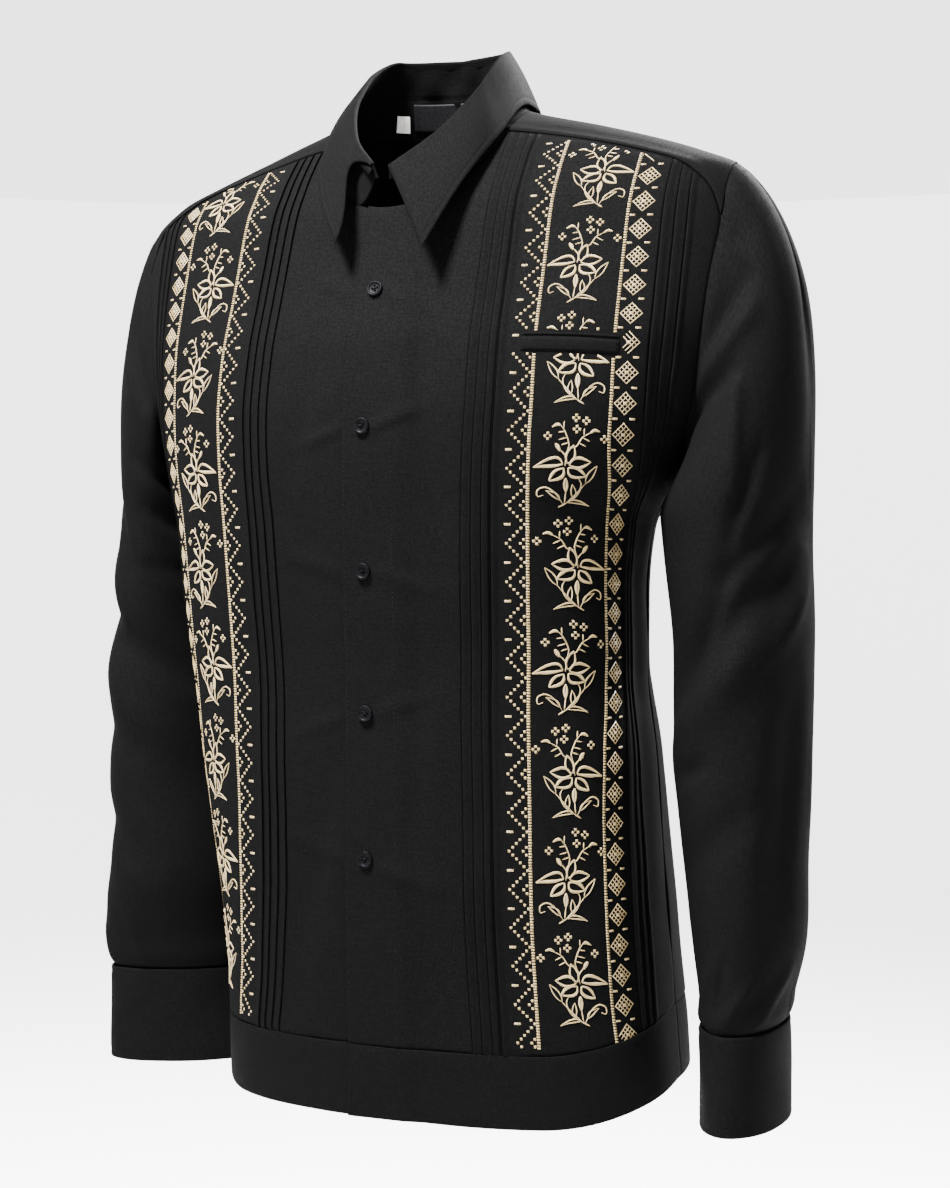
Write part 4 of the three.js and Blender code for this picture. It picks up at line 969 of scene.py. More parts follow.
def yoke_edges(side, share):
    """Inner and outer edge of the yoke on one side at shares from its front seam to
    centre back."""
    x, y = neck_plan(share)
    angle = mix(ARM_FRONT[side], ARM_BACK[side], np.clip(share / YOKE_ARM, 0, 1))
    on_arm = armhole_point(angle, side)[2]
    corner = armhole_point(np.array([ARM_BACK[side]]), side)[0][0]
    t = np.clip((share - YOKE_ARM) / (1 - YOKE_ARM), 0, 1)
    on_back = on_torso(side * mix(corner, half_length(BACK_SEAM_Z, side), t), BACK_SEAM_Z)
    outer = np.where((share <= YOKE_ARM)[:, None], on_arm, on_back)[:, :2]
    return np.stack([side * x, y], axis=-1), outer


def make_yoke():
    """The yoke: a height field over the plan between the neckline and the outer seams,
    its front edge lying a little over the fronts."""
    share = np.linspace(0, 1, 57)
    left, right = yoke_edges(1, share), yoke_edges(-1, share)
    near = np.concatenate([left[0], right[0][-2::-1]])
    far = np.concatenate([left[1], right[1][-2::-1]])
    t = (1 - (1 - np.linspace(0, 0.9985, 61)) ** 1.4)[:, None, None]
    plan = mix(near[None], far[None], t)
    plan[:, 0, 1] += 0.8
    plan[:, -1, 1] += 0.8
    x, y = plan[..., 0], plan[..., 1]
    base = np.stack([x, y, shoulder_height(x, y)], axis=-1)
    normal = shoulder_normal(x, y)
    wave = 0.18 * np.sin(x / 19 + y / 23) + 0.14 * np.sin(y / 9 - x / 41)
    ahead = np.linalg.norm(plan - plan[:, :1], axis=-1)
    behind = np.linalg.norm(plan - plan[:, -1:], axis=-1)
    edge = np.minimum(ahead, behind)
    ridge = 0.5 * bell(edge - 2.6, 1.7) - 0.45 * bell(edge - 6.5, 0.9)
    points = base + normal * (YOKE_WALL + wave + ridge)[..., None]
    return cloth_piece("yoke", points, base + normal * (INSIDE + wave)[..., None])


# ---------- sleeves and cuffs ----------
def oval_point(table, angle, z):
    """Level oval of a sleeve: across cos and along sin, turned about its centre."""
    row = {c: read(table, "z", c, z) for c in ("cx", "cy", "across", "along", "turn")}
    u, v = row["across"] * np.cos(angle), -row["along"] * np.sin(angle)
    turn = np.radians(row["turn"])
    x = row["cx"] + u * np.cos(turn) - v * np.sin(turn)
    y = row["cy"] + u * np.sin(turn) + v * np.cos(turn)
    return np.stack([x, y, z + 0 * x], axis=-1)


def cap_points(side, angle, s):
    """Sleeve cap: cubic lines from the armhole down to the first oval, leaving outwards
    at the top and straight down at the armpit."""
    _, _, point, normal = armhole_point(angle, side)
    low = ease(((1 - np.cos(angle)) / 2 - 0.45) / 0.4)[:, None]
    start = point + normal * PIT_LIFT * low
    start[:, 0] += side * (SLEEVE_START + WALL * np.maximum(0, side * normal[:, 0]))
    table = SLEEVES[side]
    end = oval_point(table, angle, np.full(angle.shape, table["z"][0]))
    end[:, 0] *= side
    reach = np.linalg.norm(end - start, axis=-1, keepdims=True)
    down = np.array([0.25 * side, 0, -0.97])
    out = np.array([CAP_OUT[side] * side, 0, -0.66])
    tangent = unit(mix(down, out, 1 - low)) * reach
    return cubic(start, tangent, end, np.array([0, 0, -1.0]) * reach, s[:, None, None])


def fold_relief(table, degrees, z):
    """Large folds round a sleeve: depth sin^0.7 along the line times a bell across it."""
    out = np.zeros(degrees.shape)
    for k in range(len(table["z"])):
        for turn in (-360, 0, 360):
            t = (degrees + turn - table["angle"][k]) / (table["to_angle"][k] - table["angle"][k])
            inside = np.clip(t, 0, 1)
            away = z - mix(table["z"][k], table["to_z"][k], inside)
            swell = np.sin(math.pi * inside) ** 0.7 * bell(away, table["width"][k])
            out -= table["depth"][k] * np.where((t > 0) & (t < 1), swell, 0)
    return out


# columns round a sleeve, rows of its cap, and how far its end runs on inside the cuff
SLEEVE_COLUMNS, CAP_ROWS = 140, 30
TUCKED = np.array([0.8, 2.2, 4.0, 6.0])


def sleeve_surface(side, lift):
    """Grid of a sleeve's face a lift above its inner form: a hidden row inside the
    armhole, the cap, the arm in level ovals, and the end tucked into the cuff."""
    angle = np.linspace(0, 2 * math.pi, SLEEVE_COLUMNS + 1)[:-1]
    cap = cap_points(side, angle, np.linspace(0, 1, CAP_ROWS))
    table = SLEEVES[side]
    low = table["z"][-1]
    heights = np.append(np.linspace(table["z"][0], low + SEAM, 105)[1:], low - TUCKED)
    arm = np.stack([oval_point(table, angle, np.full(angle.shape, h)) for h in heights])
    arm[..., 0] *= side
    hidden = cap[:1] - np.array([2.2 * side, 0, 0]) - 1.6 * armhole_point(angle, side)[3][None]
    grid = np.concatenate([hidden, cap, arm])
    z = grid[..., 2]
    row = np.arange(len(grid))[:, None]
    degrees = np.degrees(angle)[None] + 0 * z
    folds = np.where(row > CAP_ROWS, fold_relief(FOLDS[side], degrees, z), 0)
    soft = creases(SLEEVE_CREASES[side], degrees, z) + drift(degrees * 1.05, z, 0.2)
    fade = ease(row / 5) * ease((z - low) / 6)
    puff = 1.6 * bell(z - low - 9, 8) - 1.2 * bell(z - low, 2.5)
    start = seam_dip(np.linalg.norm(grid - grid[1:2], axis=-1), 2.0, 0.9)
    return grid + spread(grid, True) * (folds + soft * fade + puff + start + lift)[..., None]


def make_sleeve(side):
    """One sleeve from the armhole seam into the cuff, a closed tube of thin cloth."""
    outer, inner = sleeve_surface(side, WALL), sleeve_surface(side, INSIDE)
    return cloth_piece(half_name("sleeve", side), outer, inner, closed=True)


def cuff_point(side, share, z, rise=0.0):
    """Point of the cuff's wrap at a share of its turn, lifting over itself at the lap,
    and its outward direction."""
    table = SLEEVES[side]
    end = {c: np.array([table[c][-1]] * 2, float) for c in table}
    end["z"] = np.array([0.0, 1.0])
    end["across"] += CUFF_SLACK
    end["along"] += CUFF_SLACK
    lap = math.radians(CUFF_LAP)
    turn = 2 * math.pi + lap
    angle = math.radians(CUFF_START) + share * turn
    p = oval_point(end, angle, 0 * angle)
    q = oval_point(end, angle + 0.02, 0 * angle) - p
    n = unit(np.stack([-q[..., 1], q[..., 0], 0 * angle], axis=-1))
    centre = np.array([table["cx"][-1], table["cy"][-1], 0.0])
    n = n * np.where(np.sum(n * (p - centre), axis=-1, keepdims=True) < 0, -1, 1)
    p[..., 2] = z
    first, last = (2 * math.pi - 0.9 * lap) / turn, (2 * math.pi - 0.05 * lap) / turn
    lift = (BAND_WALL + 0.5) * ease((share - first) / (last - first)) + rise
    flip = np.array([side, 1, 1])
    return (p + n * lift[..., None]) * flip, n * flip


def cuff_wave(share, z):
    """Slow unevenness of a worn cuff."""
    return (0.5 * np.sin(share * 21 + z / 17) + 0.3 * np.sin(share * 47 - z / 9)) * 0.6


def stitch_groove(edge, line, depth, end_depth, end_width):
    """Dents along a stitched edge: one under the stitches, a line in from the edge,
    and the edge itself, pressed thin."""
    return -depth * bell(edge - line, 0.9) - end_depth * bell(edge, end_width)


def make_cuff(side):
    """One cuff: a band wrapped once round and over itself, with stitched-in edges and a
    rounded lower corner at the lap."""
    top, height = SLEEVES[side]["z"][-1] - SEAM, CUFF_HEIGHT[side]
    share = np.linspace(0, 1, 181)[None]
    down = np.concatenate([[0, 0.7], np.linspace(2, height - 2, 25), [height - 0.7, height]])[:, None]
    length = 2 * math.pi * CUFF_RADIUS * (1 + CUFF_LAP / 360)
    from_end = np.minimum(share, 1 - share) * length
    z = top - down + bell(from_end, 9) * (down / height) ** 8 * 7
    edge = np.minimum(from_end, np.minimum(down, height - down))
    share = share + 0 * z
    wave = cuff_wave(share, z)
    groove = stitch_groove(edge, CUFF_STITCH, 0.35, 0.5, 0.8)
    outer, _ = cuff_point(side, share, z, BAND_WALL + groove + wave)
    inner, _ = cuff_point(side, share, z, 0.4 + wave)
    return cloth_piece(half_name("cuff", side), outer, inner)


# ---------- hem band ----------
def make_hem_band(part):
    """One stretch of the hem band, part 1 or -1 for a front and 0 for the back: the
    form's surface between the seam and the hem, with a stitched line along both edges."""
    down = np.concatenate([[0, 0.01], np.linspace(0.05, 0.95, 13), [0.99, 1]])[:, None]
    if part == 0:
        left, right = (np.linspace(half_length(HEM_BACK, side), QUARTER[side] + SEAM, 70)
                       for side in (1, -1))
        w = np.concatenate([-right[::-1], left[1:]])[None]
    else:
        plain = np.linspace(-EDGE[part] + 0.8, QUARTER[part] - SEAM, 96)
        w = part * np.concatenate([[-EDGE[part]], plain])[None]
    z = mix(seam_z(w) - SEAM, hem_z(w), down)
    w = w + 0 * z
    if part == 0:
        start = by_side(w, QUARTER) + SEAM
        share = (np.abs(w) - start) / (back_length(w, HEM_BACK) - start)
        w = np.sign(w) * mix(start, back_length(w, z), share)
    lift = lap_lift(w, part) if part > 0 else 0 * w
    edge = np.minimum(down, 1 - down) * HEM_BAND + 0 * z
    groove = stitch_groove(edge, HEM_STITCH, 0.3, 0.5, 0.7)
    wave = drift(w if part else round_back(w, z), z, BAND_DRIFT)
    form, normal = on_torso(w, z), torso_normal(w, z)
    outer = form + normal * (lift + BAND_WALL + groove + wave)[..., None]
    under = np.where(lift > 0.1, np.minimum(lift + 0.4, 2.5), 0.4)
    inner = form + normal * (under + wave)[..., None]
    return cloth_piece(half_name("hem_band", part) if part else "hem_band_back", outer, inner)


# ---------- collar ----------
COLLAR_U = np.linspace(0, 1, 73)


def neckline(share):
    """Neck edge at shares from centre front to centre back, on the left half: the front
    neckline, then the yoke's inner edge."""
    a = math.asin(NECK_X / NECK_HALF) * np.minimum(share / NECK_TURN, 1)
    x = NECK_HALF * np.sin(a)
    z = neck_front_z(x)
    ahead = np.stack([x, front_y(x, z), z], axis=-1)
    px, py = neck_plan(np.clip((share - NECK_TURN) / (1 - NECK_TURN), 0, 1))
    behind = np.stack([px, py, shoulder_height(px, py)], axis=-1)
    return np.where((share < NECK_TURN)[:, None], ahead, behind)


def line_at(table, u):
    """Points of a collar line at shares u of the way round."""
    return np.stack([read(table, "u", c, u) for c in "xyz"], axis=-1)


def both_sides(left, right):
    """A line round the whole neck from its left and right halves."""
    return np.concatenate([left, right[-2::-1] * np.array([-1, 1, 1])])


def collar_lines():
    """Neckline, fold and leaf edge at each column, and the outward direction."""
    half = neckline(COLLAR_U)
    neck = both_sides(half, half)
    fold, leaf = (both_sides(*(line_at(lines[side], COLLAR_U) for side in (1, -1)))
                  for lines in (FOLD_LINE, LEAF_LINE))
    n = unit(np.cross(np.gradient(neck + fold, axis=0), fold - neck))
    away = neck * np.array([1, 1, 0]) - np.array([0, 5, 0])
    n = n * np.where(np.sum(n * away, axis=-1, keepdims=True) < 0, -1, 1)
    return neck, fold, leaf, n


def column_share(count):
    """Share round a half of the neck of each collar column, 0 at centre front."""
    k = np.arange(count)
    return np.minimum(k, count - 1 - k) / (count // 2)


def make_stand():
    """Collar stand: rows from just above the neckline to the fold, with a seam half way
    up its inside and soft wrinkles round the back."""
    neck, fold, _, n = collar_lines()
    reach = np.linalg.norm(fold - neck, axis=-1)
    t = np.linspace(0, 1, 33)[:, None]
    open_front = STAND_OPEN * (1 - ease(column_share(len(neck)) / STAND_OPEN_RUN))
    start = np.maximum(-1.8 / reach, open_front)
    share = mix(start[None], 1, t)
    base = mix(neck[None], fold[None], share[..., None])
    x, y, z = base[..., 0], base[..., 1], base[..., 2]
    rear = ease((y - 5) / 30)
    wrinkle = rear * (1.5 * np.sin(x / 7.5 + 0.09 * z) * bell(share - 0.55, 0.25)
                      + 0.8 * np.sin(x / 4.1 - z / 9)) * np.sin(math.pi * np.clip(share, 0, 1))
    seam = seam_dip((share - 0.56) * reach[None], 1.0, 0.7)
    inner = base + n[None] * (-STAND_IN - WALL - seam - wrinkle)[..., None]
    outer = base + n[None] * (-STAND_IN - wrinkle * 0.5 * (wrinkle > 0))[..., None]
    return cloth_piece("collar_stand", outer, inner)


def fall_frame():
    """Fold and leaf edge of the turned-down collar, the way out from the neck, and the
    way its face looks."""
    _, fold, leaf, n = collar_lines()
    return fold, leaf, n, unit(mix(n, np.array([0, 0, 1.0]), 0.35))


def fall_face(t, lift):
    """Points of the fall at shares t from fold to leaf edge, a lift above its base: a
    straight fall with a belly and slow waves."""
    fold, leaf, n, face = fall_frame()
    t = t[:, None]
    u = column_share(len(fold))[None]
    sweep = 9.5 * t * (1 - t) ** 3 * (1 - u) ** 4
    right = (np.arange(len(fold)) > len(fold) // 2)[None]
    base = np.zeros((len(t), len(fold), 3))
    for side, mine in ((1, ~right), (-1, right)):
        at = u + LEAF_SWEEP[side] * sweep
        half = mix(line_at(FOLD_LINE[side], at), line_at(LEAF_LINE[side], at), t[..., None])
        half = half * np.array([side, 1, 1])
        base = np.where(mine[..., None], half, base)
    belly = (1.6 + 0.5 * np.sin(base[..., 0] / 17 + base[..., 2] / 13)) * np.sin(math.pi * t)
    length = np.linalg.norm(leaf - fold, axis=-1)[None]
    run = running(leaf)[None]
    edge = np.minimum((1 - t) * length, np.minimum(run, run[:, -1:] - run) + 0 * t)
    groove = stitch_groove(edge, COLLAR_STITCH, 0.4, 0.6, 0.9)
    return base + face[None] * (belly + lift + groove * (lift > 1))[..., None]


def make_fall():
    """Turned-down collar: two rows inside the stand, a rolled edge over its top, then
    the fall to the leaf edge, stitched in from its free edges."""
    fold, leaf, n, _ = fall_frame()
    t = np.concatenate([np.linspace(0.02, 0.94, 44), [0.965, 0.985, 1]])
    turn = np.radians(np.linspace(180, 12, 10))[:, None, None]
    drop = np.array([9.0, 4.0])[:, None, None]
    up = unit(fold - leaf)
    centre = fold - n * 0.3

    def face(inside, radius, lift):
        rolled = centre + radius * (n * np.cos(turn) + up * np.sin(turn))
        return np.concatenate([centre - n * inside - up * drop, rolled, fall_face(t, lift)])

    return cloth_piece("collar_fall", face(2.0, 2.0, WALL), face(1.2, 1.0, 0.3))


# ---------- labels and pocket ----------
def make_patch(name, node, slot, material, first, last, low, high):
    """A small bare label inside the stand: a patch between two shares round the neck,
    its ends turned under."""
    neck, fold, _, n = collar_lines()
    place = np.linspace(first, last, 41) * (len(neck) - 1)
    along = lambda line: along_line(place, np.arange(len(neck)), line)[None]
    t = np.linspace(low, high, 15)[:, None, None]
    base = mix(along(neck), along(fold), t)
    s = np.linspace(-1, 1, 41)[None]
    puff = 0.35 * (1 - s ** 6) + 0.15 * np.sin(s * 5) + 0 * t[..., 0]
    out = unit(along(n))
    inner = base - out * (STAND_IN + WALL + 1.0)
    outer = base - out * (STAND_IN + WALL + 1.5 + puff)[..., None]
    return declare(dress(shell(name, outer, inner, material), slot, node))


# the welt across its height: height under its top edge and how far it stands out
WELT_ROWS = columns(
    "z rise",
    (2.6, 0.15), (2.3, 0.75), (1.6, 1.0), (0.9, 0.9), (0.6, 0.45), (0.2, 0.12),
    (-0.5, 0.12), (-0.9, 0.5), (-1.2, 1.15), (-2.0, 1.6), (-3.6, 1.7), (-6.0, 1.55),
    (-8.6, 1.45), (-9.5, 1.1), (-9.9, 0.5), (-10.0, 0.15))


def welt_top(w):
    """Height of the welt's top edge, lower at its outer end."""
    share = (w - WELT["from"]) / (WELT["to"] - WELT["from"])
    return WELT["top"] - WELT["slope"] * share + 0.5 * np.sin(math.pi * share)


def make_welt():
    """Welt of the chest pocket: an upper lip, the pocket's dark slit and the welt's
    rounded body below it."""
    first, last = WELT["from"], WELT["to"]
    middle = np.linspace(first + 2, last - 2, 45)
    w = np.concatenate([[first, first + 0.4], middle, [last - 0.4, last]])[None]
    z = welt_top(w) + WELT_ROWS["z"][:, None]
    ends = 1 - 0.75 * bell(np.minimum(w - first, last - w), 1.0)
    rise = WELT_ROWS["rise"][:, None] * ends
    w = w + 0 * z
    return cloth_piece("pocket_welt", on_front(1, w, z, rise), on_front(1, w, z, 0 * z + 0.05))


# ---------- buttons ----------
# half a button's outline from the middle of its face round the rim to its back
BUTTON_PROFILE = columns(
    "r z",
    (0, 1.75), (0.3, 1.75), (0.6, 1.75), (0.9, 1.75), (1.15, 1.75), (1.4, 1.75), (1.7, 1.75),
    (2.0, 1.75), (2.3, 1.75), (2.6, 1.75), (3.0, 1.75), (3.5, 1.8), (3.9, 1.95), (4.3, 2.3),
    (4.7, 2.52), (5.1, 2.55), (5.4, 2.4), (5.58, 2.05), (5.6, 1.2), (5.5, 0.35), (5.0, 0.05),
    (3.5, 0), (0, 0))
FACE_RINGS, BUTTON_TURN = 16, 48
# place of the four holes both ways from the middle, their rounded radii and their depth
HOLE_AT, HOLE_FLAT, HOLE_ROUND, HOLE_DEPTH = 1.25, 0.45, 0.35, 1.5
SEWN_RADIUS, SEWN_RINGS, SEWN_TURN = 0.42, 11, 8


def button_body():
    """Points and faces of a button: its profile turned, with a raised rim and four
    holes sunk where the distance from a hole's middle is small."""
    r, z = BUTTON_PROFILE["r"], BUTTON_PROFILE["z"]
    turn = np.linspace(0, 2 * math.pi, BUTTON_TURN + 1)[:-1]
    x, y = r[1:-1, None] * np.cos(turn), r[1:-1, None] * np.sin(turn)
    h = z[1:-1, None] + 0 * x
    for cx, cy in ((1, 1), (-1, 1), (-1, -1), (1, -1)):
        hole = 1 - ease((np.hypot(x - cx * HOLE_AT, y - cy * HOLE_AT) - HOLE_FLAT) / HOLE_ROUND)
        h[:FACE_RINGS] -= HOLE_DEPTH * hole[:FACE_RINGS]
    ring = np.stack([x, y, h], axis=-1).reshape(-1, 3)
    points = np.concatenate([ring, [[0, 0, z[0]], [0, 0, z[-1]]]])
    c = np.arange(BUTTON_TURN)
    d = (c + 1) % BUTTON_TURN
    tip, foot = len(ring), len(ring) + 1
    last = len(ring) - BUTTON_TURN
    fan = lambda a, b, middle: np.stack([a, b, middle + 0 * c, -1 + 0 * c], axis=1)
    faces = [grid_faces(len(r) - 2, BUTTON_TURN, 0, True), fan(d, c, tip), fan(last + c, last + d, foot)]
    return points, np.concatenate(faces)


def sewn_thread(k, shift):
    """One of the two crossing stitches of a button, a tube in a low arch: z rises by
    1 - s^4 over the run s from -1.15 to 1.15. Its points are numbered from shift."""
    way = HOLE_AT * np.array([1, 1 - 2 * k])
    s = np.linspace(-1.15, 1.15, SEWN_RINGS)
    arc = np.stack([way[0] * s, way[1] * s, 1.35 + 0.75 * (1 - s ** 4) + 0.22 * k], axis=-1)
    across = unit(np.array([-way[1], way[0], 0.0]))
    a = np.linspace(0, 2 * math.pi, SEWN_TURN + 1)[:-1, None]
    tube = arc[:, None] + SEWN_RADIUS * (across * np.cos(a) + np.array([0, 0, 1.0]) * np.sin(a))[None]
    faces = [grid_faces(SEWN_RINGS, SEWN_TURN, shift, True)]
    for row in (0, SEWN_RINGS - 1):
        ids = shift + row * SEWN_TURN + np.arange(SEWN_TURN)
        end = np.stack([ids[[0, 0, 0]], ids[[1, 3, 5]], ids[[2, 4, 6]], ids[[3, 5, 7]]], axis=1)
        faces.append(end[:, ::(1 if row else -1)])
    return tube.reshape(-1, 3), np.concatenate(faces)


def make_button(node, centre, normal, spin):
    """A four-hole button, sewn on with two crossing stitches, its face along normal."""
    points, faces = button_body()
    for k in (0, 1):
        more, more_faces = sewn_thread(k, len(points))
        points, faces = np.concatenate([points, more]), np.concatenate([faces, more_faces])
    side_way = unit(np.cross(normal, [math.sin(spin), 0.2, math.cos(spin)]))
    basis = np.stack([side_way, np.cross(normal, side_way), normal])
    return dress(put(node + "_sewn", points @ basis + centre, faces, button_material()), "button", node)


# ---------- sewing ----------
def stitch_run(points, normals, length=2.5, gap=0.8, width=0.28, rise=0.2):
    """Stitches along a line: every length plus gap a slim grain with two tips and a
    ring of four, sunk half into the cloth."""
    step = running(points)
    count = max(1, int(step[-1] / (length + gap)))
    mid = (np.arange(count) + 0.5) * (length + gap)
    n = unit(along_line(mid, step, normals))
    tip, m, tail = (along_line(mid + part * length, step, points) for part in (0.5, 0, -0.5))
    tip, tail = tip + n * 0.02, tail + n * 0.02
    across = unit(np.cross(tip - tail, n)) * width
    ring = [m + across, m + n * rise, m - across, m - n * 0.15]
    verts = np.stack([tip, *ring, tail], axis=1).reshape(-1, 3)
    k = np.array([[0, 1, 2], [0, 2, 3], [0, 3, 4], [0, 4, 1], [5, 2, 1], [5, 3, 2], [5, 4, 3], [5, 1, 4]])
    faces = (np.arange(count)[:, None, None] * 6 + k[None]).reshape(-1, 3)
    return verts, faces


def triangle_rows(faces):
    """Triangles as rows of four, the last -1."""
    return np.concatenate([faces, np.full((len(faces), 1), -1)], axis=1)


def gather(parts):
    """One set of points and triangles from several."""
    points, faces, shift = [], [], 0
    for p, f in parts:
        points.append(p)
        faces.append(f + shift)
        shift += len(p)
    return np.concatenate(points), triangle_rows(np.concatenate(faces))


def stitch_object(name, parts):
    """A piece of black sewing thread on the cloth."""
    points, faces = gather(parts)
    # the darker black is taken where the tone runs low at random and, as painted shade, in the grooves
    # between strands
    material = thread_material("black_thread", (0.0007, 0.0007, 0.0008), (0.002, 0.002, 0.0022), 0.7, 0.02)
    uv = np.stack([points[:, 0] + points[:, 1], points[:, 2]], axis=-1)
    return dress(put(name, points, faces, material, uv), "cloth")


def front_line(side, w, z, rise=0.0):
    """Points and normals of a line on a front."""
    w, z = np.broadcast_arrays(np.asarray(w, float), np.asarray(z, float))
    return on_front(side, w, z, 0 * z + rise), torso_normal(side * w, z)


def sewing_on_fronts():
    """Lap stitching on the left front, buttonholes under the buttons, and stitches down
    both ends and along the foot of the pocket welt."""
    parts = []
    for w in (21.5, -14.2):
        top, low = float(front_top_z(np.array([w]))[0]) - 2, float(seam_z(w)) + 1
        parts.append(stitch_run(*front_line(1, w, np.linspace(top, low, 240))))
    for z in BUTTON_Z:
        for w in (-1.1, 1.1):
            line = front_line(1, w, np.linspace(z + 8, z - 8, 30))
            parts.append(stitch_run(*line, length=0.9, gap=0.1, width=0.9, rise=0.35))
    first, last, foot = WELT["from"] + 1.4, WELT["to"] - 1.4, WELT["height"] - 1.4
    s = np.linspace(0, 1, 60)
    seams = (((first, 1.5), (first, foot)), ((last, 1.5), (last, foot)), ((first, foot), (last, foot)))
    for start, end in seams:
        w, drop = (mix(a, b, s) for a, b in zip(start, end))
        line = front_line(1, w, welt_top(w) - drop, 1.5)
        parts.append(stitch_run(*line, length=2.0, gap=0.7))
    return stitch_object("front_stitching", parts)


def sewing_on_bands():
    """Stitching along the hem band and round the cuffs."""
    parts = []
    back = np.concatenate([np.linspace(QUARTER[1] + 2, half_length(HEM_BACK, 1), 120),
                           -np.linspace(half_length(HEM_BACK, -1), QUARTER[-1] + 2, 120)])
    for offset in (HEM_STITCH, HEM_BAND - HEM_STITCH):
        for side in (1, -1, 0):
            w = side * np.linspace(-EDGE[side] + 2, QUARTER[side] - 2, 200) if side else back
            z = seam_z(w) - offset
            lift = lap_lift(w, side) + drift(w if side else round_back(w, z), z, BAND_DRIFT)
            n = torso_normal(w, z)
            parts.append(stitch_run(on_torso(w, z) + n * (lift + BAND_WALL - 0.25)[:, None], n))
    for side in (1, -1):
        top, height = SLEEVES[side]["z"][-1] - SEAM, CUFF_HEIGHT[side]
        share = np.linspace(0.02, 0.98, 260)
        for drop in (CUFF_STITCH, height - CUFF_STITCH):
            lift = BAND_WALL + cuff_wave(share, top - drop) - 0.3
            parts.append(stitch_run(*cuff_point(side, share, top - drop, lift)))
    return stitch_object("band_stitching", parts)


def sewing_on_collar():
    """Stitching a little in from the free edges of the turned-down collar."""
    fold, leaf, _, face = fall_frame()
    length = np.linalg.norm(leaf - fold, axis=-1)
    t = np.linspace(0.02, 1, 120)
    grid = fall_face(t, WALL)
    first = int(np.searchsorted(running(leaf), COLLAR_STITCH))
    last = len(leaf) - 1 - first
    keep = np.arange(first, last + 1)
    rows = np.interp(1 - COLLAR_STITCH / length[keep], t, np.arange(len(t)))
    low = np.floor(rows).astype(int)
    part = (rows - low)[:, None]
    line = mix(grid[low, keep], grid[np.minimum(low + 1, len(t) - 1), keep], part)
    parts = [stitch_run(line, face[keep])]
    for col, row in ((first, rows[0]), (last, rows[-1])):
        run = grid[4:int(row), col]
        parts.append(stitch_run(run, np.repeat(face[col][None], len(run), axis=0)))
    return stitch_object("collar_stitching", parts)


# ---------- embroidery ----------
# cloth widths of the band's middle, its two ladder lines, the netted diamonds' middle
# and the teeth, then the pitches up the band
BAND_MIDDLE = 147.5
LINE_IN, LINE_OUT, LATTICE, TOOTH_TIP, TOOTH_ROOT = 120.0, 174.3, 184.0, 106.0, 118.2
TOOTH_PITCH, LATTICE_PITCH, MOTIF_PITCH, RUNG_PITCH = 25.9, 20.5, 70.2, 1.9
TOOTH_START, TOOTH_STEPS, NET_START, NET_LINES, NET_STEP = 6, 5, 8, 5, 2.6
SPRAY_FOOT, SPRAY_ASIDE, SPRAY_LEAN = 18.5, 4.5, 0.03
# petals and leaves of one spray: foot, way it points in degrees, length, half width
# between its sewn edges, thickness of the edges, and how far its tip bends aside
LEAVES = columns(
    "x y turn length half thick bend",
    (2, 28.5, 64, 13, 2.9, 1.9, 1.5), (3.2, 27.5, 18, 14.5, 3.4, 2.3, -2.5),
    (2.6, 25.5, -44, 12.5, 3.5, 2.6, 4), (-0.5, 25.3, -124, 12.5, 3.0, 2.6, -3),
    (-1, 28, 150, 15.5, 3.4, 2.5, 11.5), (0.8, 18.5, -90, 10, 0.9, 2.2, 0),
    (14, 15, 62, 14.5, 1.9, 1.2, -1.5), (5.5, 4.5, 80, 9.5, 1.6, 1.1, 2),
    (1.5, 1.5, 18, 13.5, 1.2, 1.2, -7), (-3, 3, 122, 10.5, 1.5, 1.1, 4))
# stems and twigs: thread width and the points that each passes
STEMS = (
    (1.1, (0, 0), (7, 7), (14, 15)),
    (1.1, (-1, 0), (-6, 8), (-12, 12), (-17, 10), (-17, 5.5), (-13.5, 6.5)),
    (1.3, (-4, -2), (1, 1)), (1.1, (0, 1), (0.8, 9)), (1.1, (2, 1), (8.5, 7), (11, 14), (9, 19)),
    (1.2, (0.5, 27), (1, 33), (-3.5, 38.5)), (3.2, (-2.8, 37), (-4.5, 39.8), (-6, 42)),
    (1.1, (2, 37), (3, 42), (0, 50), (-3, 54)), (1.0, (1.5, 46), (-4, 44.5)),
    (1.0, (2.5, 42.5), (-2, 41)), (1.0, (0, 50), (-4.5, 49.5)), (1.0, (-1, 52), (-1, 57)),
    (2.2, (-3, 54), (-5.5, 54.8), (-9, 53)), (1.1, (3, 39), (8, 40), (12, 46), (17, 49)),
    (1.0, (12, 46), (17, 43.5)), (1.0, (9.5, 42.5), (14.5, 40)), (1.0, (13, 47.5), (13, 52)),
    (2.2, (17, 49), (20, 50.8), (23.5, 50)),
)
SPRIG_STARS = ((7, 59), (14, 57), (8, 51.5), (-11.5, 47), (27, 45))
STAR_ARM = 1.85


def smooth_path(points, count):
    """Curve through a few points: each span a cubic with slopes from its neighbours."""
    p = np.array(points, float)
    ends = np.vstack([2 * p[0] - p[1], p, 2 * p[-1] - p[-2]])
    s = np.linspace(0, len(p) - 1, count)
    k = np.minimum(s.astype(int), len(p) - 2)
    a, b, c, d = (ends[k + more] for more in range(4))
    return cubic(b, (c - a) / 2, c, (d - b) / 2, (s - k)[:, None])


# chart places of the four ribs across a satin stitch, out to its half width
RIBS = np.array([-1, -0.45, 0.45, 1])


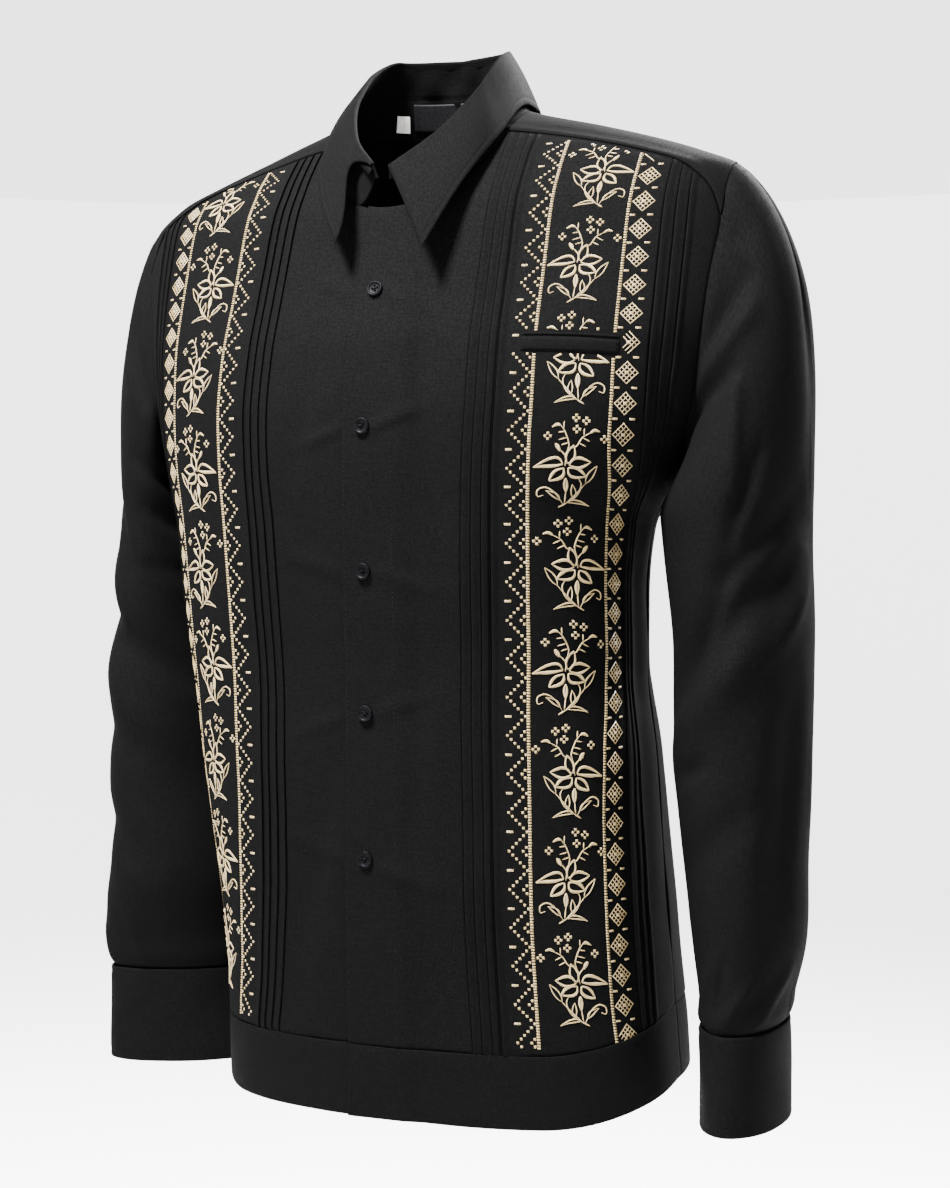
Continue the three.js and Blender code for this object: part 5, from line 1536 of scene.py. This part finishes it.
def satin_stroke(points, width):
    """Chart shape of a satin stitch: four points across a low flat roof, widest in the
    middle of its path. Gives chart x and y, rise and the run along it."""
    count = 5 if len(points) == 2 else 4 * len(points) - 3
    path = smooth_path(points, count)
    way = unit(np.gradient(path, axis=0))
    across = np.stack([-way[:, 1], way[:, 0]], axis=-1)
    s = np.linspace(0, 1, count)
    half = width / 2 * (0.25 + 0.75 * np.sin(math.pi * (0.06 + 0.88 * s)))
    rise = np.array([-0.1, 0.5, 0.5, -0.1]) * min(1.0, 0.6 + 0.2 * width)
    xy = path[:, None] + across[:, None] * (half[:, None] * RIBS)[..., None]
    return xy, np.broadcast_to(rise, xy.shape[:2]), running(path)


def stroke_faces(count):
    """Triangles of a stroke of count rings of four, closed at both ends."""
    quads = grid_faces(count, 4, 0, True)
    last = 4 * (count - 1)
    ends = [[1, 0, 2], [2, 0, 3], [last, last + 1, last + 2], [last, last + 2, last + 3]]
    return np.concatenate([quads[:, [0, 1, 2]], quads[:, [0, 2, 3]], ends])


def cross_stitches(places, half, rise=0.5):
    """Charted cross stitches: a square with a raised middle at each place. Gives the
    points of each stitch, their rises and the triangles of one."""
    corners = np.array([[-1, -1], [1, -1], [1, 1], [-1, 1], [0, 0]]) * half
    tris = np.array([[0, 1, 4], [1, 2, 4], [2, 3, 4], [3, 0, 4], [0, 3, 2], [0, 2, 1]])
    return np.array(places, float)[:, None] + corners, np.array([-0.1] * 4 + [rise]), tris


def bars(places, half_w, half_v, rise=0.45, turn=0.0):
    """Charted short satin bars: a low roof with its ridge along the width, turned."""
    base = np.array([[-1, -1], [1, -1], [1, 1], [-1, 1], [-0.8, 0], [0.8, 0]]) * [half_w, half_v]
    base = base @ np.array([[math.cos(turn), math.sin(turn)], [-math.sin(turn), math.cos(turn)]])
    tris = np.array([[0, 1, 5], [0, 5, 4], [1, 2, 5], [2, 3, 4], [2, 4, 5],
                     [3, 0, 4], [0, 3, 2], [0, 2, 1]])
    return np.array(places, float)[:, None] + base, np.array([-0.1] * 4 + [rise] * 2), tris


def band_chart(length):
    """The whole band as sets of like stitches, v running up from the hem band: a toothed
    border, a ladder line on each side of the sprays, and a border of netted diamonds."""
    pieces = []
    dots, dashes = [], []
    for tooth in np.arange(-1, length / TOOTH_PITCH + 1):
        v0 = tooth * TOOTH_PITCH + TOOTH_START
        for k in range(2 * TOOTH_STEPS):
            down = abs(k - TOOTH_STEPS) / TOOTH_STEPS
            dots.append((mix(TOOTH_ROOT, TOOTH_TIP, down), v0 + k * TOOTH_PITCH / (2 * TOOTH_STEPS)))
        dots += [(LINE_IN - 2.5, v0 - 2.6), (LINE_IN - 2.5, v0 + 2.6), (LINE_IN - 4.6, v0)]
        dashes.append((TOOTH_TIP + 0.6, v0 + TOOTH_PITCH / 2))
    pieces.append(cross_stitches(dots, 1.05))
    pieces.append(bars(dashes, 2.3, 1.0))
    rungs = np.arange(0.5, length, RUNG_PITCH)
    for w in (LINE_IN, LINE_OUT):
        pieces.append(bars([(w, v) for v in rungs], 1.15, 0.78))
    net, ties, hearts = [[], []], [], []
    reach = (NET_LINES - 1) / 2 * NET_STEP
    for step in np.arange(-1, length / LATTICE_PITCH + 1):
        v0 = step * LATTICE_PITCH + NET_START
        for off in np.linspace(-reach, reach, NET_LINES) * math.sqrt(0.5):
            net[0].append((LATTICE - off, v0 + off))
            net[1].append((LATTICE + off, v0 + off))
        hearts.append((LATTICE, v0))
        ties += [(LATTICE - 6.4, v0 + LATTICE_PITCH / 2), (LATTICE + 5.6, v0 + LATTICE_PITCH / 2)]
    for places, turn in zip(net, (math.pi / 4, -math.pi / 4)):
        pieces.append(bars(places, reach + 0.6, 0.44, 0.4, turn))
    pieces.append(bars(hearts, 1.5, 1.3, 0.6))
    pieces.append(bars(ties, 1.9, 0.85))
    return pieces


def leaf_edges(k):
    """Both sewn edges of a petal or leaf: its axis runs from the foot and bends aside
    as s^2, the edges stand off it by half sin(pi s^0.85)."""
    row = {c: LEAVES[c][k] for c in LEAVES}
    s = np.linspace(0, 1, 6)[:, None]
    turn = math.radians(row["turn"])
    way, across = np.array([math.cos(turn), math.sin(turn)]), np.array([-math.sin(turn), math.cos(turn)])
    axis = np.array([row["x"], row["y"]]) + row["length"] * s * way + row["bend"] * s ** 2 * across
    swell = row["half"] * np.sin(math.pi * s ** 0.85) * across
    return [(row["thick"], *(axis + swell)), (0.85 * row["thick"], *(axis - swell))]


def spray_strokes(length):
    """Strokes and small stars of every spray up the band as chart points."""
    strokes, stars = [], []
    for k in range(int(length / MOTIF_PITCH) + 2):
        flip = -1 if k % 2 == 0 else 1
        w0, v0 = BAND_MIDDLE - SPRAY_ASIDE * flip, SPRAY_FOOT + k * MOTIF_PITCH
        lean = SPRAY_LEAN * math.sin(1.7 * k)
        place = lambda x, y: (w0 + flip * x + lean * y, v0 + y)
        leaves = [edge for leaf in range(len(LEAVES["x"])) for edge in leaf_edges(leaf)]
        for width, *points in leaves + list(STEMS):
            strokes.append((width, [place(x, y) for x, y in points]))
        for x, y in SPRIG_STARS:
            for dx, dy in ((STAR_ARM, 0), (-STAR_ARM, 0), (0, STAR_ARM), (0, -STAR_ARM)):
                stars.append(place(x + dx, y + dy))
    return strokes, stars


def make_embroidery(side):
    """The embroidered band of one front: chart points are carried to the cloth by their
    width and by the running height of the cloth, and left out past the yoke seam and
    over the pocket welt."""
    heights = np.linspace(float(seam_z(side * BAND_MIDDLE)) + 1.2, -32, 500)
    run = running(on_front(side, BAND_MIDDLE + 0 * heights, heights, 0 * heights))
    to_z = lambda v: np.interp(v, run, heights)
    top_w = np.linspace(95, 200, 60)
    top_z = front_top_z(side * top_w) - 1.6
    length = float(run[-1])

    def clear(xy):
        w, v = xy[..., 0], xy[..., 1]
        z = to_z(v)
        ok = (v > 0) & (v < length - 0.5) & (z < np.interp(w, top_w, top_z))
        if side > 0:
            at = sway(side, w, z)
            in_welt = (at > WELT["from"] - 1) & (at < WELT["to"] + 1)
            ok &= ~(in_welt & (z < welt_top(at) + 3.2) & (z > welt_top(at) - WELT["height"] - 1))
        return ok.all(axis=-1)

    # each part has columns for chart x, y, rise and the two ways of the thread's lie
    parts = []
    strokes, stars = spray_strokes(length)
    for xy, rise, tris in band_chart(length) + [cross_stitches(stars, 1.1)]:
        xy = xy[clear(xy)]
        x, y = xy.reshape(-1, 2).T
        lie = (y, x + y) if len(rise) == 5 else (x, y)
        tris = tris + len(rise) * np.arange(len(xy))[:, None, None]
        parts.append((np.column_stack([x, y, np.tile(rise, len(xy)), *lie]), tris.reshape(-1, 3)))
    for width, points in strokes:
        xy, rise, along = satin_stroke(points, width)
        edges = np.flatnonzero(np.diff(np.concatenate([[0], clear(xy).astype(int), [0]])))
        for first, last in zip(edges[::2], edges[1::2]):
            if last - first < 2:
                continue
            x, y = xy[first:last].reshape(-1, 2).T
            across = np.tile([-1, -0.4, 0.4, 1], last - first) * width / 2
            along_way = np.repeat(along[first:last], 4)
            rows = np.column_stack([x, y, rise[first:last].ravel(), across, along_way])
            parts.append((rows, stroke_faces(last - first)))
    chart, faces = gather(parts)
    heights = to_z(chart[:, 1])
    points = on_front(side, sway(side, chart[:, 0], heights), heights, chart[:, 2])
    bright = tuple(bpy.context.scene.guayabera.thread_colour)
    # deep, the darker gold, is reached where the tone runs low at random and, as painted shade, in the
    # grooves between strands
    deep = (bright[0] * 0.62, bright[1] * 0.56, bright[2] * 0.45)
    material = thread_material("gold_thread", deep, bright, 0.38)
    return dress(put(half_name("embroidery", side), points, faces, material, chart[:, 3:]), "embroidery")


# ---------- settings, operators and panel ----------
class GuayaberaLooks(bpy.types.PropertyGroup):
    """Colours and light that a user would change."""
    cloth_colour: bpy.props.FloatVectorProperty(
        name="Cloth", description="Colour of the linen", size=3, subtype="COLOR",
        min=0, max=1, default=(0.0008, 0.0008, 0.00083))
    thread_colour: bpy.props.FloatVectorProperty(
        name="Embroidery", description="Brightest colour of the embroidery thread", size=3,
        subtype="COLOR", min=0, max=1, default=(0.15, 0.108, 0.042))
    key_power: bpy.props.FloatProperty(
        name="Key light", description="Power of the main soft light", default=1250.0,
        min=0, subtype="POWER", unit="POWER")
    floor_depth: bpy.props.FloatProperty(
        name="Floor", description="Depth of the floor below the neck", default=1.5,
        min=0.8, subtype="DISTANCE", unit="LENGTH")


class GUAYABERA_OT_fronts(bpy.types.Operator):
    """Build both fronts with their tucks, folds, pocket welt and embroidery"""
    bl_idname = "guayabera.fronts"
    bl_label = "Fronts"

    def execute(self, context):
        for side in (1, -1):
            make_front(side)
            make_embroidery(side)
        make_welt()
        sewing_on_fronts()
        return {"FINISHED"}


class GUAYABERA_OT_back(bpy.types.Operator):
    """Build the back and the yoke"""
    bl_idname = "guayabera.back"
    bl_label = "Back and yoke"

    def execute(self, context):
        make_back()
        make_yoke()
        return {"FINISHED"}


class GUAYABERA_OT_sleeves(bpy.types.Operator):
    """Build both sleeves and their cuffs"""
    bl_idname = "guayabera.sleeves"
    bl_label = "Sleeves and cuffs"

    def execute(self, context):
        for side in (1, -1):
            make_sleeve(side)
            make_cuff(side)
        return {"FINISHED"}


class GUAYABERA_OT_hem(bpy.types.Operator):
    """Build the hem band and the stitching of the bands"""
    bl_idname = "guayabera.hem"
    bl_label = "Hem band"

    def execute(self, context):
        for part in (1, -1, 0):
            make_hem_band(part)
        sewing_on_bands()
        return {"FINISHED"}


class GUAYABERA_OT_collar(bpy.types.Operator):
    """Build the collar stand, the turned-down collar and the bare labels inside"""
    bl_idname = "guayabera.collar"
    bl_label = "Collar"

    def execute(self, context):
        make_stand()
        make_fall()
        sewing_on_collar()
        black = tape_material("label_tape", (0.0012, 0.0012, 0.0014), (0.0028, 0.0028, 0.0032), 0.03)
        white = tape_material("tab_tape", (0.34, 0.33, 0.31), (0.5, 0.49, 0.47), 0.1)
        make_patch("neck_label_tape", "neck_label", "label", black, 0.43, 0.585, 0.15, 0.5)
        make_patch("size_tab_tape", "size_tab", "tab", white, 0.593, 0.618, 0.12, 0.34)
        return {"FINISHED"}


class GUAYABERA_OT_buttons(bpy.types.Operator):
    """Build the front and cuff buttons"""
    bl_idname = "guayabera.buttons"
    bl_label = "Buttons"

    def execute(self, context):
        for k, z in enumerate(BUTTON_Z):
            n = torso_normal(0.01, float(z))
            seat = on_torso(0.0, float(z)) + n * (LAP_LIFT + WALL + 0.3)
            make_button(f"button_{k + 1}", seat, n, 0.6 + 1.1 * k)
        for side in (1, -1):
            z = SLEEVES[side]["z"][-1] - SEAM - CUFF_HEIGHT[side] / 2
            share = np.array([1 - CUFF_LAP / (360 + CUFF_LAP) * 0.45])
            p, n = cuff_point(side, share, np.array([z]), BAND_WALL + 0.3)
            make_button(half_name("cuff_button", side), p[0], n[0], 0.3)
        return {"FINISHED"}


# name, place, target and size of each light in metres, and its share of the key's power
LIGHTS = (
    ("key_light", (-0.45, -1.15, 1.65), (0, 0, -0.3), 0.5, 1),
    ("side_light", (2.6, -2.0, 0.9), (0.1, 0, -0.3), 1.2, 0.04),
    ("back_light", (0.6, 1.7, 1.5), (0, 0, -0.3), 0.6, 0.7),
)
SKY_STRENGTH = 3.2
# the floor: radius of its flat middle, and of the quarter round that rises from its edge
FLOOR_FLAT, FLOOR_ROUND = 5.5, 3
# the camera: frame height and lens in the frame's own dots, its shift, turn, way off and drop
FRAME_DOTS, LENS_DOTS, SHIFT_DOTS = 1188, 1957, (41, -26)
CAMERA_TURN, CAMERA_OFF, CAMERA_DROP = 24, 1.45, 0.33


def area_light(name, place, target, size, power):
    """A square soft light at a place, turned to a target."""
    data = bpy.data.lights.new(name, "AREA")
    data.shape = "SQUARE"
    data.size = size
    data.energy = power
    obj = collection_link(bpy.data.objects.new(name, data))
    obj.location = place
    way = np.array(target, float) - np.array(place, float)
    obj.rotation_euler = (math.atan2(math.hypot(way[0], way[1]), -way[2]), 0,
                          math.atan2(-way[0], way[1]))
    return obj


class GUAYABERA_OT_stage(bpy.types.Operator):
    """Build the pale floor, the soft lights and the camera"""
    bl_idname = "guayabera.stage"
    bl_label = "Stage"

    def execute(self, context):
        looks = context.scene.guayabera
        rise = np.radians(np.arange(10, 91, 10))
        flat = np.linspace(0.001, FLOOR_FLAT, 12)
        r = np.concatenate([flat, FLOOR_FLAT + FLOOR_ROUND * np.sin(rise)])[:, None]
        z = np.concatenate([0 * flat, FLOOR_ROUND - FLOOR_ROUND * np.cos(rise)])[:, None]
        turn = np.linspace(0, 2 * math.pi, 97)[:-1]
        bowl = np.stack([r * np.cos(turn), r * np.sin(turn), z + 0 * turn - looks.floor_depth], axis=-1)
        faces = grid_faces(len(r), len(turn), 0, True)
        mesh = bpy.data.meshes.new("floor")
        mesh.from_pydata(bowl.reshape(-1, 3).tolist(), [], faces.tolist())
        mesh.polygons.foreach_set("use_smooth", np.ones(len(faces), bool))
        material, tree, shader = new_material("pale_floor")
        if tree:
            shader.inputs["Base Color"].default_value = (0.86, 0.86, 0.86, 1)
            shader.inputs["Roughness"].default_value = 0.9
        mesh.materials.append(material)
        floor = collection_link(bpy.data.objects.new("floor", mesh))
        for name, place, target, size, share in LIGHTS:
            area_light(name, place, target, size, share * looks.key_power)
        world = context.scene.world or bpy.data.worlds.new("studio")
        context.scene.world = world
        world.use_nodes = True
        world.node_tree.nodes.clear()
        sky = add(world.node_tree, "ShaderNodeBackground", {0: (1, 1, 1, 1), 1: SKY_STRENGTH})
        out = add(world.node_tree, "ShaderNodeOutputWorld")
        world.node_tree.links.new(sky.outputs[0], out.inputs[0])
        data = bpy.data.cameras.new("camera")
        data.sensor_fit = "AUTO"
        data.sensor_width = 36
        data.lens = data.sensor_width * LENS_DOTS / FRAME_DOTS
        data.shift_x, data.shift_y = (dots / FRAME_DOTS for dots in SHIFT_DOTS)
        camera = collection_link(bpy.data.objects.new("camera", data))
        turn = math.radians(CAMERA_TURN)
        camera.location = (CAMERA_OFF * math.sin(turn), -CAMERA_OFF * math.cos(turn), -CAMERA_DROP)
        camera.rotation_euler = (math.pi / 2, 0, turn)
        context.scene.camera = camera
        return {"FINISHED"}


class GUAYABERA_PT_panel(bpy.types.Panel):
    """Sidebar list of the shirt's pieces"""
    bl_idname = "GUAYABERA_PT_panel"
    bl_label = "Guayabera shirt"
    bl_space_type = "VIEW_3D"
    bl_region_type = "UI"
    bl_category = "Guayabera"

    def draw(self, context):
        looks = context.scene.guayabera
        for name in ("cloth_colour", "thread_colour", "key_power", "floor_depth"):
            self.layout.prop(looks, name)
        for operator in OPERATORS:
            self.layout.operator(operator.bl_idname)


OPERATORS = (GUAYABERA_OT_fronts, GUAYABERA_OT_back, GUAYABERA_OT_sleeves, GUAYABERA_OT_hem,
             GUAYABERA_OT_collar, GUAYABERA_OT_buttons, GUAYABERA_OT_stage)
CLASSES = (GuayaberaLooks, *OPERATORS, GUAYABERA_PT_panel)


def register():
    """Register the classes and hang the settings on the scene."""
    for cls in CLASSES:
        bpy.utils.register_class(cls)
    bpy.types.Scene.guayabera = bpy.props.PointerProperty(type=GuayaberaLooks)


def unregister():
    """Take the settings and classes away again."""
    del bpy.types.Scene.guayabera
    for cls in reversed(CLASSES):
        bpy.utils.unregister_class(cls)


def main():
    """Build every piece in order."""
    register()
    for operator in OPERATORS:
        group, name = operator.bl_idname.split(".")
        getattr(getattr(bpy.ops, group), name)()


if __name__ == "__main__":
    main()
